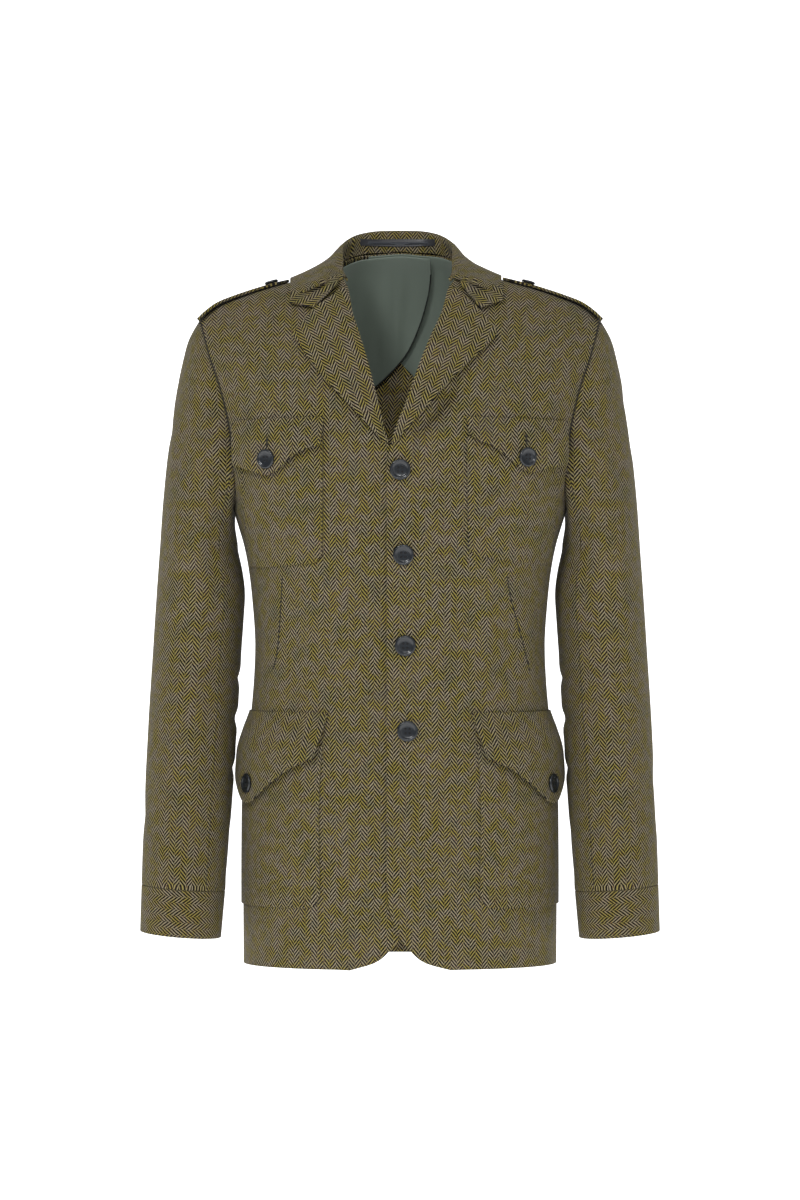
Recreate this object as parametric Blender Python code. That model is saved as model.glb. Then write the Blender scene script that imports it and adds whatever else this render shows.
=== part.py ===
"""A tailored field jacket in herringbone tweed, filled out as worn with no wearer.

+X is the wearer's left, -Y the front, +Z up. The origin is the middle of the shoulder seat,
level with the side of the neck. Sizes here are in millimetres; meshes are made in metres.
"""

import math

import bpy
import numpy as np
from mathutils import Vector
from mathutils.geometry import delaunay_2d_cdt

MM = 0.001
LEFT = 1
RIGHT = -1

# Cloth
WALL = 2.2
PATCH_WALL = 1.8
LINING_WALL = 1.0
GAP = 0.3
HALF_GAP = 0.15

# Heights
HEM = -727.0
CHEST = -216.0
UNDERARM = -258.0
CUTAWAY_TOP = -640.0

# Body: rings from hem to chest
RING_POWER = 2.4
RISE_POWER = 2.2
RINGS = (
    # height, half_width, front, back
    (-727.0, 162.5, 112.0, 118.0),
    (-640.0, 163.0, 116.0, 121.0),
    (-544.0, 162.0, 118.0, 119.0),
    (-470.0, 155.0, 117.0, 109.0),
    (-403.0, 150.5, 117.0, 102.0),
    (-341.0, 154.5, 120.0, 107.0),
    (-300.0, 161.0, 123.0, 112.0),
    (-263.0, 171.5, 124.0, 118.0),
    (-216.0, 183.4, 124.0, 122.0),
)

# Armhole seen from the front, as a share of the ring's half width at its edge
ARMHOLE_SHARE = 0.935
ARMHOLE = (
    # height, x
    (-216.0, 171.5),
    (-176.0, 176.0),
    (-147.0, 182.0),
    (-118.0, 191.0),
    (-89.0, 201.0),
    (-64.5, 210.5),
)

# Shoulder seam, and how the cloth would go on to the middle of the neck
NECK_X = 75.0
NECK_BLEND_X = 40.0
SHOULDER = (
    # x, height
    (75.0, -7.0),
    (90.0, -13.0),
    (106.0, -19.0),
    (133.0, -26.0),
    (153.0, -32.0),
    (172.0, -38.5),
    (187.0, -44.5),
    (198.0, -52.0),
    (211.0, -64.5),
    (228.0, -88.0),
)
BACK_NECK = (
    # x, height
    (0.0, 43.0),
    (28.0, 38.0),
    (52.0, 22.0),
    (66.0, 4.0),
    (75.0, -7.0),
)
FRONT_NECK_HEIGHT = -3.0
NECK_DROP = 0.315
NECK_DROP_POWER = 2.6
NECK_DROP_ROUND = 0.62
# How rows crowd towards the shoulder
ROW_POWER = 1.6

# Front edge, roll line and neckline
LAP = 13.5
CUT_WIDTH = 65.0
GORGE_LEVEL = 0.70
ROLL_LINE = {
    LEFT: ((-13.5, -197.0), (-3.0, -178.5), (42.0, -60.0), (47.0, -42.0)),
    RIGHT: ((-13.5, -232.0), (11.8, -195.0), (47.6, -62.0), (51.0, -43.0)),
}
GORGE_X = {LEFT: 52.0, RIGHT: 54.5}
FRONT_NECKLINE = (
    # level, x
    (0.798, 63.0),
    (0.902, 70.5),
    (1.0, 75.0),
)
UNDERLAP_DEPTH = 3.3
UNDERLAP_START = 34.0
UNDERLAP_END = 15.0
UNDERLAP_TOP = -150.0
UNDERLAP_FADE = 40.0

# Rows of the panels: where each starts at the middle and ends at the side
LEVEL_SPAN = 216.0
LOWER_ROWS = (
    # middle, side
    (-727.0, -727.0),
    (-720.4, -720.4),
    (-701.5, -701.5),
    (-673.3, -673.3),
    (-640.0, -640.0),
    (-598.0, -598.0),
    (-556.0, -556.0),
    (-514.0, -514.0),
    (-472.0, -472.0),
    (-432.0, -432.0),
    (-394.0, -396.0),
    (-352.0, -358.0),
    (-312.0, -326.0),
    (-272.0, -294.0),
)
ARMHOLE_ROWS = (
    # middle, turn of the armhole's bottom (90 is underarm), side height
    (-238.0, 90.0, -258.0),
    (-219.0, 64.0, 0.0),
    (-200.0, 40.0, 0.0),
    (-178.0, 18.0, 0.0),
    (-155.0, 0.0, -216.0),
    (-130.0, 0.0, -186.0),
    (-105.0, 0.0, -152.0),
    (-80.0, 0.0, -116.0),
    (-54.0, 0.0, -78.0),
    (-27.0, 0.0, -38.0),
    (0.0, 0.0, 0.0),
)
FRONT_COLUMNS = 13
BACK_NECK_COLUMNS = 5
BACK_SHOULDER_COLUMNS = 6

# Sleeves and cuffs
SLEEVE = (
    # height, inner_x, outer_x, middle_y, half_depth
    (-300.0, 168.5, 250.0, 4.0, 65.0),
    (-341.0, 161.5, 253.0, 5.0, 63.0),
    (-403.0, 165.0, 257.0, 5.0, 60.0),
    (-470.0, 169.0, 261.0, 0.0, 57.0),
    (-540.0, 173.0, 264.0, -9.0, 54.0),
    (-600.0, 177.0, 266.0, -20.0, 51.5),
    (-648.0, 180.5, 267.0, -29.0, 50.0),
    (-696.0, 184.5, 268.0, -38.0, 49.0),
)
CUFF_TOP = -648.0
CUFF_TILT = 3.5
CAP_ROWS = 6
SLEEVE_ROWS = (-320.0, -341.0, -372.0, -403.0, -436.0, -470.0, -505.0, -540.0, -575.0, -612.0, CUFF_TOP)
CUFF_ROWS = (CUFF_TOP, -672.0, -696.0)
UNDER_SLEEVE_REACH = 4
UNDERARM_TUCK = 1.0
MITRE_LIMIT = 1.35
SEAM_PULL = 0.5
# How a sleeve leaves the armhole: outward at the underarm and more over it, forward, down
LEAVE_OUT = (0.22, 0.53)
LEAVE_FORWARD = 0.40
LEAVE_DOWN = (0.66, 0.34)
CAP_LEAN = 0.055
CAP_WIDEST = 205.0
CAP_CLAMPED = 8
CAP_HANDLE = (12.0, 22.0)
CAP_LIFT_SHARE = (0.33, 0.46)

# Collar
WIDER_RIGHT = 0.04
STAND_LIFT = 1.2
FOLD = 3.2
COLLAR = (
    # neckline, fold_x, fold_y, fold_z, edge_x, edge_y
    (0.00, 0.0, 67.0, 36.3, 0.0, 86.0),
    (0.28, 21.0, 65.0, 35.6, 29.0, 85.0),
    (0.52, 38.0, 58.0, 32.0, 57.0, 78.0),
    (0.74, 50.0, 45.0, 25.5, 80.0, 61.0),
    (0.92, 56.5, 24.0, 16.0, 98.0, 38.0),
    (1.00, 57.8, 2.0, 7.0, 106.0, 8.0),
    (1.35, 57.5, -19.0, -2.5, 109.0, -18.0),
    (1.70, 56.5, -39.0, -12.5, 108.5, -41.0),
    (2.00, 53.5, -55.0, -20.5, 107.5, -60.0),
)
COLLAR_STATIONS = 13
# Along the collar: 1 at the shoulder seam, 2 at its end, and where the notch starts to shape the leaf
COLLAR_LENGTH = 2.0
LEAF_END = 1.55
STAND_BOW = 0.6
NOTCH = (82.0, -76.0)
NOTCH_SHARE = 0.48
LEAF_SHARES = (0.24, 0.48, 0.74, 1.0)
LEAF_CLEARANCE = 3.6
LEAF_BULGE = 2.0

# Lapels, seen from the front: x and height
LAPEL = {
    LEFT: (
        (50.8, -31.0),
        (78.0, -55.5),
        (97.0, -79.0),
        (97.5, -84.0),
        (76.0, -104.5),
        (55.5, -124.5),
        (27.0, -157.0),
        (2.5, -183.5),
        (-6.0, -193.0),
        (-20.0, -190.0),
        (-20.0, -120.0),
        (20.0, -31.0),
    ),
    RIGHT: (
        (53.2, -31.0),
        (86.0, -55.5),
        (107.0, -80.5),
        (107.0, -84.5),
        (91.0, -107.5),
        (73.0, -131.0),
        (40.5, -166.0),
        (17.0, -192.0),
        (5.0, -192.0),
        (0.0, -120.0),
        (20.0, -31.0),
    ),
}
LAPEL_ROLL = 3.4
LAPEL_ROLL_REACH = 11.0
BREAK = -200.0
BREAK_FADE = 30.0
LAPEL_STAND_TOP = -95.0
LAPEL_STAND_LOW = -196.0
LAPEL_STAND_FADE = 60.0
LAPEL_STAND_REACH = 26.0
LAPEL_STAND = 4.2

# Back lining, seen from the front: the free edge of the one that lies on top
LINING_EDGE = (
    (34.0, 12.0),
    (34.5, -13.0),
    (26.5, -44.0),
    (16.0, -72.0),
    (5.0, -93.0),
    (-25.0, -123.0),
    (-62.0, -152.0),
    (-104.0, -180.0),
    (-146.0, -205.0),
)
LINING_OUTER = (
    (-160.0, -214.0),
    (-165.0, -176.0),
    (-171.0, -147.0),
    (-180.0, -116.0),
    (-187.0, -90.0),
    (-184.0, -66.0),
    (-150.0, -44.0),
    (-106.0, -30.0),
    (-80.0, -17.0),
    (-66.0, 6.0),
    (-60.0, 40.0),
    (34.0, 40.0),
)

# Hanger loop on the inside of the collar stand, seen from the front
LOOP_WALL = 1.0
LOOP = ((-42.0, 21.5), (0.0, 20.8), (37.0, 21.5), (37.0, 28.2), (0.0, 28.9), (-42.0, 28.2))

# Pockets, seen from the front: x and height
CHEST_POCKET = {
    LEFT: ((67.6, -186.0), (69.0, -299.8), (78.0, -306.9), (136.0, -314.9), (154.0, -314.0), (163.0, -186.0)),
    RIGHT: ((78.0, -186.0), (78.6, -306.9), (87.2, -314.0), (138.0, -317.9), (154.0, -316.5), (163.0, -186.0)),
}
CHEST_FLAP = {
    LEFT: (
        (67.0, -166.0),
        (69.0, -183.0),
        (78.0, -190.2),
        (90.3, -194.3),
        (105.0, -205.0),
        (120.0, -217.5),
        (129.9, -221.3),
        (146.5, -216.0),
        (165.0, -211.3),
        (169.5, -168.0),
    ),
    RIGHT: (
        (77.0, -166.0),
        (79.1, -194.3),
        (94.4, -198.3),
        (106.6, -205.0),
        (121.0, -219.0),
        (132.6, -224.4),
        (149.3, -218.0),
        (165.0, -212.1),
        (169.5, -168.0),
    ),
}
CHEST_BUTTON = {LEFT: (125.5, -205.5), RIGHT: (132.0, -207.5)}

# Hip pockets, on the cloth: distance forward of the side, and height
HIP_MIDDLE = 56.0
HIP_HALF = 90.0
HIP_POCKET_TOP = -500.0
HIP_POCKET_BOTTOM = -665.0
HIP_CORNER = 14.0
CORNER_CUT = (0.4, 0.25)
HIP_FLAP = (
    # from_middle, height
    (92.0, -466.0),
    (88.0, -494.0),
    (84.0, -512.0),
    (60.0, -523.0),
    (34.0, -541.0),
    (12.0, -557.0),
    (0.0, -560.5),
)
HIP_BUTTON_HEIGHT = -540.0

# Shoulder straps
STRAP = (
    # x, half_width
    (104.0, 0.8),
    (108.0, 10.0),
    (115.0, 18.5),
    (135.0, 20.5),
    (165.0, 22.5),
    (190.0, 24.0),
    (208.5, 25.0),
)
STRAP_STATIONS = 18
STRAP_LIFT = 0.9
STRAP_TIP = {LEFT: 106.5, RIGHT: 115.0}
STRAP_DROP = 1.6
STRAP_HALF = 25.0
STRAP_SPACING = 1.25
STRAP_WALL = 2.6
STRAP_BUTTON_X = 133.0

# Buttons
BUTTON_SIDES = 18
BUTTON_PROFILE = (
    # share of radius, share of height
    (0.0, 0.0),
    (0.82, 0.0),
    (1.0, 0.35),
    (0.97, 0.8),
    (0.86, 1.0),
    (0.72, 0.82),
    (0.6, 0.62),
    (0.0, 0.62),
)
FRONT_BUTTONS = (
    # x, height
    (0.3, -219.0),
    (3.9, -306.0),
    (5.6, -398.0),
    (7.7, -484.5),
)
FRONT_BUTTON_RADIUS = 10.6
POCKET_BUTTON_RADIUS = 10.0
STRAP_BUTTON_RADIUS = 7.2
BUTTON_HEIGHT = 3.4
STRAP_BUTTON_HEIGHT = 2.8

# Colours
TWEED = (0.135, 0.113, 0.060)
TWEED_DARK = (0.105, 0.088, 0.046)
SATIN = (0.070, 0.083, 0.068)
NAVY_SATIN = (0.022, 0.026, 0.033)
HORN = (0.020, 0.024, 0.028)


def clear_scene():
    for item in list(bpy.data.objects):
        bpy.data.objects.remove(item, do_unlink=True)


def column(table, index):
    return [row[index] for row in table]


def slopes(xs, ys):
    """Slopes of a curve through the points that never overshoots them."""
    steps = [(ys[k + 1] - ys[k]) / (xs[k + 1] - xs[k]) for k in range(len(xs) - 1)]
    inner = []
    for before, after in zip(steps, steps[1:]):
        inner.append(0.0 if before * after <= 0 else 2.0 * before * after / (before + after))
    return [steps[0]] + inner + [steps[-1]]


def smooth(xs, ys, x):
    """The height at x of a smooth curve through the points, held flat past its ends."""
    if x <= xs[0]:
        return ys[0]
    if x >= xs[-1]:
        return ys[-1]
    k = max(i for i in range(len(xs) - 1) if xs[i] <= x)
    width = xs[k + 1] - xs[k]
    t = (x - xs[k]) / width
    slope = slopes(xs, ys)
    rise = ys[k] * (1 + 2 * t) * (1 - t) ** 2 + ys[k + 1] * t * t * (3 - 2 * t)
    return rise + width * (slope[k] * t * (1 - t) ** 2 - slope[k + 1] * t * t * (1 - t))


def ease(t):
    t = min(1.0, max(0.0, t))
    return t * t * (3 - 2 * t)


def shoulder_height(x, behind):
    x = abs(x)
    if x >= NECK_X:
        return smooth(column(SHOULDER, 0), column(SHOULDER, 1), x)
    if behind:
        return smooth(column(BACK_NECK, 0), column(BACK_NECK, 1), x)
    return FRONT_NECK_HEIGHT + (SHOULDER[0][1] - FRONT_NECK_HEIGHT) * ease((x - NECK_BLEND_X) / (NECK_X - NECK_BLEND_X))


def level_at(x, height, behind=False):
    """Share of the way from chest to shoulder seam, 0 to 1, of a place on the upper body."""
    share = (height - CHEST) / (shoulder_height(x, behind) - CHEST)
    share = min(1.0, max(0.0, share))
    return math.degrees(math.asin(share ** (RISE_POWER / 2))) / 90.0


ARMHOLE_LEVELS = [level_at(x, height) for height, x in ARMHOLE[:-1]] + [1.0]


def half_width(h):
    """Half width of the whole ring at height h; above the chest h is CHEST + level * LEVEL_SPAN."""
    if h <= CHEST:
        return smooth(column(RINGS, 0), column(RINGS, 1), h)
    level = (h - CHEST) / LEVEL_SPAN
    return smooth(ARMHOLE_LEVELS, column(ARMHOLE, 1), level) / ARMHOLE_SHARE


def skin_at(x, h, behind):
    """The cloth's outer face where the ring at h is x from the middle."""
    width = half_width(h)
    share = min(1.0, abs(x) / width)
    depth = smooth(column(RINGS, 0), column(RINGS, 3 if behind else 2), min(h, CHEST))
    y = depth * (1.0 - share ** RING_POWER) ** (1.0 / RING_POWER)
    z = h
    if h > CHEST:
        turn = math.radians(90.0 * min(1.0, (h - CHEST) / LEVEL_SPAN))
        y *= max(0.0, math.cos(turn)) ** (2.0 / RISE_POWER)
        z = CHEST + (shoulder_height(x, behind) - CHEST) * math.sin(turn) ** (2.0 / RISE_POWER)
    return np.array((x, y if behind else -y, z))


def angle_at(x, h):
    share = min(1.0, abs(x) / half_width(h))
    return math.copysign(math.degrees(math.asin(share ** (RING_POWER / 2))), x)


def x_at(angle, h):
    turn = math.radians(min(90.0, abs(angle)))
    return math.copysign(half_width(h) * math.sin(turn) ** (2.0 / RING_POWER), angle)


ARMHOLE_ANGLE = math.degrees(math.asin(ARMHOLE_SHARE ** (RING_POWER / 2)))


def panel_rows():
    """Each row as (middle h, side h, side angle)."""
    rows = [(middle, side, 90.0) for middle, side in LOWER_ROWS]
    for middle, turn, side in ARMHOLE_ROWS:
        angle = ARMHOLE_ANGLE
        if turn > 0:
            side = CHEST + (UNDERARM - CHEST) * math.sin(math.radians(turn))
            angle = 90.0 - (90.0 - ARMHOLE_ANGLE) * math.cos(math.radians(turn))
        rows.append((middle, side, angle))
    return rows


def inner_x(side, h):
    """Where a front begins: its edge, then the roll line, then the neckline."""
    if h <= CUTAWAY_TOP:
        drop = min(1.0, (CUTAWAY_TOP - h) / (CUTAWAY_TOP - HEM))
        return -LAP + CUT_WIDTH * (1.0 - math.sqrt(max(0.0, 1.0 - drop * drop)))
    points = []
    for x, height in ROLL_LINE[side]:
        level = height if height <= CHEST else CHEST + LEVEL_SPAN * level_at(x, height)
        points.append((level, x))
    points.append((CHEST + LEVEL_SPAN * GORGE_LEVEL, GORGE_X[side]))
    points += [(CHEST + LEVEL_SPAN * level, x) for level, x in FRONT_NECKLINE]
    return float(np.interp(h, column(points, 0), column(points, 1)))


def resample(points, shares):
    """Points at the given shares of the length of a polyline."""
    points = np.array(points)
    lengths = np.linalg.norm(np.diff(points, axis=0), axis=1)
    at = np.concatenate(([0.0], np.cumsum(lengths)))
    wanted = np.array(shares) * at[-1]
    return np.stack([np.interp(wanted, at, points[:, k]) for k in range(3)], axis=1)


def underlap(x):
    """How far the under front's edge lies behind the other front."""
    return UNDERLAP_DEPTH * ease((UNDERLAP_START - x) / (UNDERLAP_START - UNDERLAP_END))


def front_row(side, middle, end, end_angle, samples=72):
    start = angle_at(inner_x(side, middle), middle)
    points = []
    for k in range(samples + 1):
        t = k / samples
        h = middle + (end - middle) * t ** ROW_POWER
        point = skin_at(x_at(start + (end_angle - start) * t, h), h, False)
        if side == RIGHT:
            point[1] += underlap(point[0]) * ease((UNDERLAP_TOP - point[2]) / UNDERLAP_FADE)
        points.append(point)
    return points


def front_grid(side):
    shares = [k / FRONT_COLUMNS for k in range(FRONT_COLUMNS + 1)]
    rows = []
    for middle, end, angle in panel_rows():
        row = resample(front_row(side, middle, end, angle), shares)
        row[-1, 1] = min(row[-1, 1], -HALF_GAP)
        rows.append(row)
    grid = np.array(rows)
    grid[-1, :, 1] = -HALF_GAP
    grid[:, :, 0] *= side
    return grid


def neck_level(x):
    """How high the back reaches at x, as a level."""
    share = min(1.0, abs(x) / NECK_X)
    return 1.0 - NECK_DROP * (1.0 - share ** NECK_DROP_POWER) ** NECK_DROP_ROUND


def back_row(middle, end, end_angle, samples=90):
    points = []
    for k in range(samples + 1):
        t = k / samples
        h = middle + (end - middle) * t ** ROW_POWER
        x = x_at(end_angle * t, h)
        if h > CHEST:
            h = CHEST + (h - CHEST) * neck_level(x)
        points.append(skin_at(x, h, True))
    return points


def back_grid():
    rows = []
    table = panel_rows()
    for j, (middle, end, angle) in enumerate(table):
        points = back_row(middle, end, angle)
        top = j == len(table) - 1
        lengths = np.concatenate(([0.0], np.cumsum(np.linalg.norm(np.diff(np.array(points), axis=0), axis=1))))
        neck = np.interp(NECK_X, column(points, 0), lengths) / lengths[-1]
        even = BACK_NECK_COLUMNS / (BACK_NECK_COLUMNS + BACK_SHOULDER_COLUMNS)
        knee = even + (neck - even) * ease((j - 14) / (len(table) - 15))
        shares = [knee * k / BACK_NECK_COLUMNS for k in range(BACK_NECK_COLUMNS)]
        shares += [knee + (1 - knee) * k / BACK_SHOULDER_COLUMNS for k in range(BACK_SHOULDER_COLUMNS + 1)]
        half = resample(points, shares)
        if top:
            half[BACK_NECK_COLUMNS:, 1] = HALF_GAP
        half[-1, 1] = max(half[-1, 1], HALF_GAP)
        mirrored = half[:0:-1] * np.array((-1.0, 1.0, 1.0))
        rows.append(np.concatenate((mirrored, half)))
    return np.array(rows)


def grid_normals(grid, outward):
    """Unit normals of a grid of points, turned so that they agree with outward(point)."""
    along = np.gradient(grid, axis=1)
    up = np.gradient(grid, axis=0)
    normal = np.cross(along, up)
    normal /= np.linalg.norm(normal, axis=2, keepdims=True) + 1e-12
    flip = np.einsum("jik,jik->ji", normal, outward(grid)) < 0
    normal[flip] *= -1
    return normal


def away_from_axis(grid):
    """Outward of the body: away from an upright line through its middle, and up near the shoulders."""
    out = grid * np.array((1.0, 1.0, 0.0))
    out[:, :, 2] = np.where(grid[:, :, 2] > -120.0, 120.0 + grid[:, :, 2], 0.0)
    return out


class Panel:
    """A grid of points on the outer face of a piece, with normals and a wall behind it."""

    def __init__(self, outer, normals, wall=WALL, inner=None):
        self.outer = outer
        self.normals = normals
        self.inner = outer - normals * wall if inner is None else inner

    def triangles(self):
        rows, cols = self.outer.shape[:2]
        for j in range(rows - 1):
            for i in range(cols - 1):
                a, b, c, d = (j, i), (j, i + 1), (j + 1, i + 1), (j + 1, i)
                yield a, b, c
                yield a, c, d


def make_material(name, color, roughness):
    material = bpy.data.materials.new(name)
    material.use_nodes = True
    shader = material.node_tree.nodes["Principled BSDF"]
    shader.inputs["Base Color"].default_value = (*color, 1.0)
    shader.inputs["Roughness"].default_value = roughness
    return material


def signed_volume(points, faces):
    """Six times the volume inside the faces, negative where they point inward."""
    total = 0.0
    for face in faces:
        first = np.array(points[face[0]])
        for b, c in zip(face[1:], face[2:]):
            total += np.dot(first, np.cross(points[b], points[c]))
    return total


def make_object(name, points, faces, color, roughness=0.9):
    mesh = bpy.data.meshes.new(name)
    mesh.from_pydata([tuple(p * MM) for p in np.array(points)], [], faces)
    if signed_volume(points, faces) < 0:
        mesh.flip_normals()
    mesh.materials.append(make_material(name, color, roughness))
    mesh.shade_smooth()
    mesh.set_sharp_from_angle(angle=math.radians(40))
    mesh.update()
    item = bpy.data.objects.new(name, mesh)
    bpy.context.scene.collection.objects.link(item)
    return item


def edge_faces(points, a, b, shift):
    """The edge of a wall as two triangles, split along the shorter diagonal so that seams match."""
    c, d = b + shift, a + shift
    if np.linalg.norm(points[a] - points[c]) < np.linalg.norm(points[b] - points[d]):
        return [(a, d, c), (a, c, b)]
    return [(a, d, b), (d, c, b)]


def panel_solid(name, panel, color, closed=False):
    """The wall between a panel's outer and inner grids; closed joins its last column to its first."""
    rows, cols = panel.outer.shape[:2]
    points = np.concatenate((panel.outer.reshape(-1, 3), panel.inner.reshape(-1, 3)))
    shift = rows * cols
    faces = []

    def at(j, i):
        return j * cols + i % cols

    last = cols if closed else cols - 1
    for j in range(rows - 1):
        for i in range(last):
            a, b, c, d = at(j, i), at(j, i + 1), at(j + 1, i + 1), at(j + 1, i)
            faces += [(a, b, c), (a, c, d)]
            faces += [(a + shift, c + shift, b + shift), (a + shift, d + shift, c + shift)]
    for i in range(last):
        faces += edge_faces(points, at(0, i), at(0, i + 1), shift)
        faces += edge_faces(points, at(rows - 1, i + 1), at(rows - 1, i), shift)
    if not closed:
        for j in range(rows - 1):
            faces += edge_faces(points, at(j + 1, 0), at(j, 0), shift)
            faces += edge_faces(points, at(j, cols - 1), at(j + 1, cols - 1), shift)
    return make_object(name, points, faces, color)


def counterclockwise(points, loop):
    """The loop of flat points, turned round if it runs clockwise."""
    area = 0.0
    for a, b in zip(loop, loop[1:] + loop[:1]):
        area += points[a].x * points[b].y - points[b].x * points[a].y
    return loop if area > 0 else loop[::-1]


def cut_patch(panel, outline, flat, rows=None):
    """The part of a panel inside an outline, which is drawn in the panel's flat coordinates.

    Gives the flat points, triangles, and for each point its place and normal on the panel.
    """
    outline = [tuple(p) for p in outline]
    low = np.min(outline, axis=0) - 1.0
    high = np.max(outline, axis=0) + 1.0
    points = [Vector(p) for p in outline]
    faces = [counterclockwise(points, list(range(len(outline))))]
    index = {}
    kept = []
    for triangle in panel.triangles():
        if rows is not None and not rows[0] <= triangle[0][0] < rows[1]:
            continue
        corners = np.array([flat[k] for k in triangle])
        if (corners.max(axis=0) < low).any() or (corners.min(axis=0) > high).any():
            continue
        for key in triangle:
            if key not in index:
                index[key] = len(points)
                points.append(Vector(flat[key]))
        faces.append(counterclockwise(points, [index[key] for key in triangle]))
        kept.append(triangle)
    found = delaunay_2d_cdt(points, [], faces, 0, 1e-4, True)
    spots, triangles, sources = found[0], found[2], found[5]
    place = {}
    chosen = []
    for triangle, source in zip(triangles, sources):
        cells = [k for k in source if k > 0]
        if 0 not in source or not cells:
            continue
        chosen.append(list(triangle))
        for spot in triangle:
            place.setdefault(spot, kept[cells[0] - 1])
    order = {spot: k for k, spot in enumerate(sorted(place))}
    where = np.array([tuple(spots[spot]) for spot in sorted(place)])
    on, normal = [], []
    for spot in sorted(place):
        keys = place[spot]
        weights = barycentric(np.array(spots[spot]), *(np.array(flat[k]) for k in keys))
        on.append(sum(w * panel.outer[k] for w, k in zip(weights, keys)))
        direction = sum(w * panel.normals[k] for w, k in zip(weights, keys))
        normal.append(direction / np.linalg.norm(direction))
    return where, [[order[s] for s in t] for t in chosen], np.array(on), np.array(normal)


def barycentric(p, a, b, c):
    ab, ac, ap = b - a, c - a, p - a
    area = ab[0] * ac[1] - ab[1] * ac[0]
    v = (ap[0] * ac[1] - ap[1] * ac[0]) / area
    w = (ab[0] * ap[1] - ab[1] * ap[0]) / area
    return 1.0 - v - w, v, w


def patch_solid(name, panel, outline, flat, lift, wall, color, rows=None):
    """A piece that lies on a panel: its points moved out by lift, and again by its own wall."""
    where, triangles, on, normal = cut_patch(panel, outline, flat, rows)
    lifts = np.array([lift(p) if callable(lift) else lift for p in where])[:, None]
    bottom = on + normal * lifts
    top = on + normal * (lifts + wall)
    count = len(on)
    edges = {}
    for a, b, c in triangles:
        for edge in ((a, b), (b, c), (c, a)):
            edges[edge] = True
    rim = [edge for edge in edges if edge[::-1] not in edges]
    faces = [tuple(t) for t in triangles]
    faces += [tuple(k + count for k in t[::-1]) for t in triangles]
    faces += [(b, a, a + count, b + count) for a, b in rim]
    return make_object(name, np.concatenate((bottom, top)), faces, color)


def front_view(grid):
    return grid[:, :, (0, 2)]


def rounded(outline, cuts=2):
    """Each corner of an open run of points eased by cutting it, with the ends kept."""
    points = [np.array(p, dtype=float) for p in outline]
    for _ in range(cuts):
        eased = [points[0]]
        for a, b in zip(points, points[1:]):
            eased += [a * 0.75 + b * 0.25, a * 0.25 + b * 0.75]
        points = eased + [points[-1]]
    return [tuple(p) for p in points]


def unit(vector):
    return vector / np.linalg.norm(vector)


def seam_direction(side, around, body_normal, sleeve_normal, into_sleeve):
    """Where the inside of an armhole seam lies from its outside, so that both walls meet face to face."""
    into_body = unit(np.cross(around, body_normal))
    if np.dot(into_body, (-side, 0.0, -1.0)) < 0:
        into_body = -into_body
    facing = body_normal + sleeve_normal
    total = facing + SEAM_PULL * (into_body + unit(into_sleeve))
    return -unit(total) * min(MITRE_LIMIT, 2.0 / np.linalg.norm(facing))


def armhole_loop(front, back, side, first):
    """Points round one armhole with the body's normals there: from underarm up the front, and back down."""
    front_points = [(front.outer[j, -1], front.normals[j, -1]) for j in range(first, front.outer.shape[0])]
    edge = -1 if side == LEFT else 0
    back_points = [(back.outer[j, edge], back.normals[j, edge]) for j in range(first, back.outer.shape[0])]
    loop = front_points + back_points[-2:0:-1]
    points = np.array([p for p, _ in loop])
    normals = np.array([n for _, n in loop])
    points[0, 1] = 0.0
    points[len(front_points) - 1, 1] = 0.0
    return points, normals, len(front_points) - 1


def sleeve_section(height):
    heights = column(SLEEVE, 0)[::-1]
    return [smooth(heights, column(SLEEVE, k)[::-1], height) for k in range(1, 5)]


def sleeve_ring(side, height, turns):
    """One ring of a sleeve; a turn of 0 is outward, 90 forward, 180 inward."""
    inner, outer, middle_y, half_depth = sleeve_section(height)
    middle, half = (inner + outer) / 2, (outer - inner) / 2
    tilt = CUFF_TILT * ease((SLEEVE[0][0] - height) / (SLEEVE[0][0] - SLEEVE[-1][0]))
    ring = []
    for turn in turns:
        across = math.cos(math.radians(turn))
        forward = math.sin(math.radians(turn))
        x = middle + half * across
        ring.append((side * x, middle_y - half_depth * forward, height + tilt * across))
    return np.array(ring)


def sleeve_turns(points, top):
    """The turn of each armhole point, from its share of the way from underarm to shoulder."""
    steps = np.linalg.norm(np.roll(points, -1, axis=0) - points, axis=1)
    at = np.concatenate(([0.0], np.cumsum(steps)))
    turns = []
    for k in range(len(points)):
        if k <= top:
            turns.append(180.0 * (1.0 - at[k] / at[top]))
        else:
            turns.append(-180.0 * (at[k] - at[top]) / (at[-1] - at[top]))
    return turns


def sleeve_start(side, turn):
    """The direction in which the sleeve leaves the armhole."""
    over = (1 + math.cos(math.radians(turn))) / 2
    forward = LEAVE_FORWARD * math.sin(math.radians(turn))
    down = LEAVE_DOWN[0] + LEAVE_DOWN[1] * (1 - over)
    direction = np.array((side * (LEAVE_OUT[0] + LEAVE_OUT[1] * over), -forward, -down))
    return direction / np.linalg.norm(direction)


def cap_point(start, end, leave, over, t):
    """A point of the sleeve cap, on a curve from the armhole to the first full ring."""
    length = np.linalg.norm(end - start)
    near = start + leave * (CAP_HANDLE[0] + (CAP_HANDLE[1] - CAP_HANDLE[0]) * over)
    rise = length * (CAP_LIFT_SHARE[0] + (CAP_LIFT_SHARE[1] - CAP_LIFT_SHARE[0]) * over)
    far = end + np.array((-CAP_LEAN * math.copysign(1.0, start[0]) * over, 0.0, 1.0)) * rise
    return start * (1 - t) ** 3 + 3 * near * t * (1 - t) ** 2 + 3 * far * t * t * (1 - t) + end * t ** 3


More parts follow.
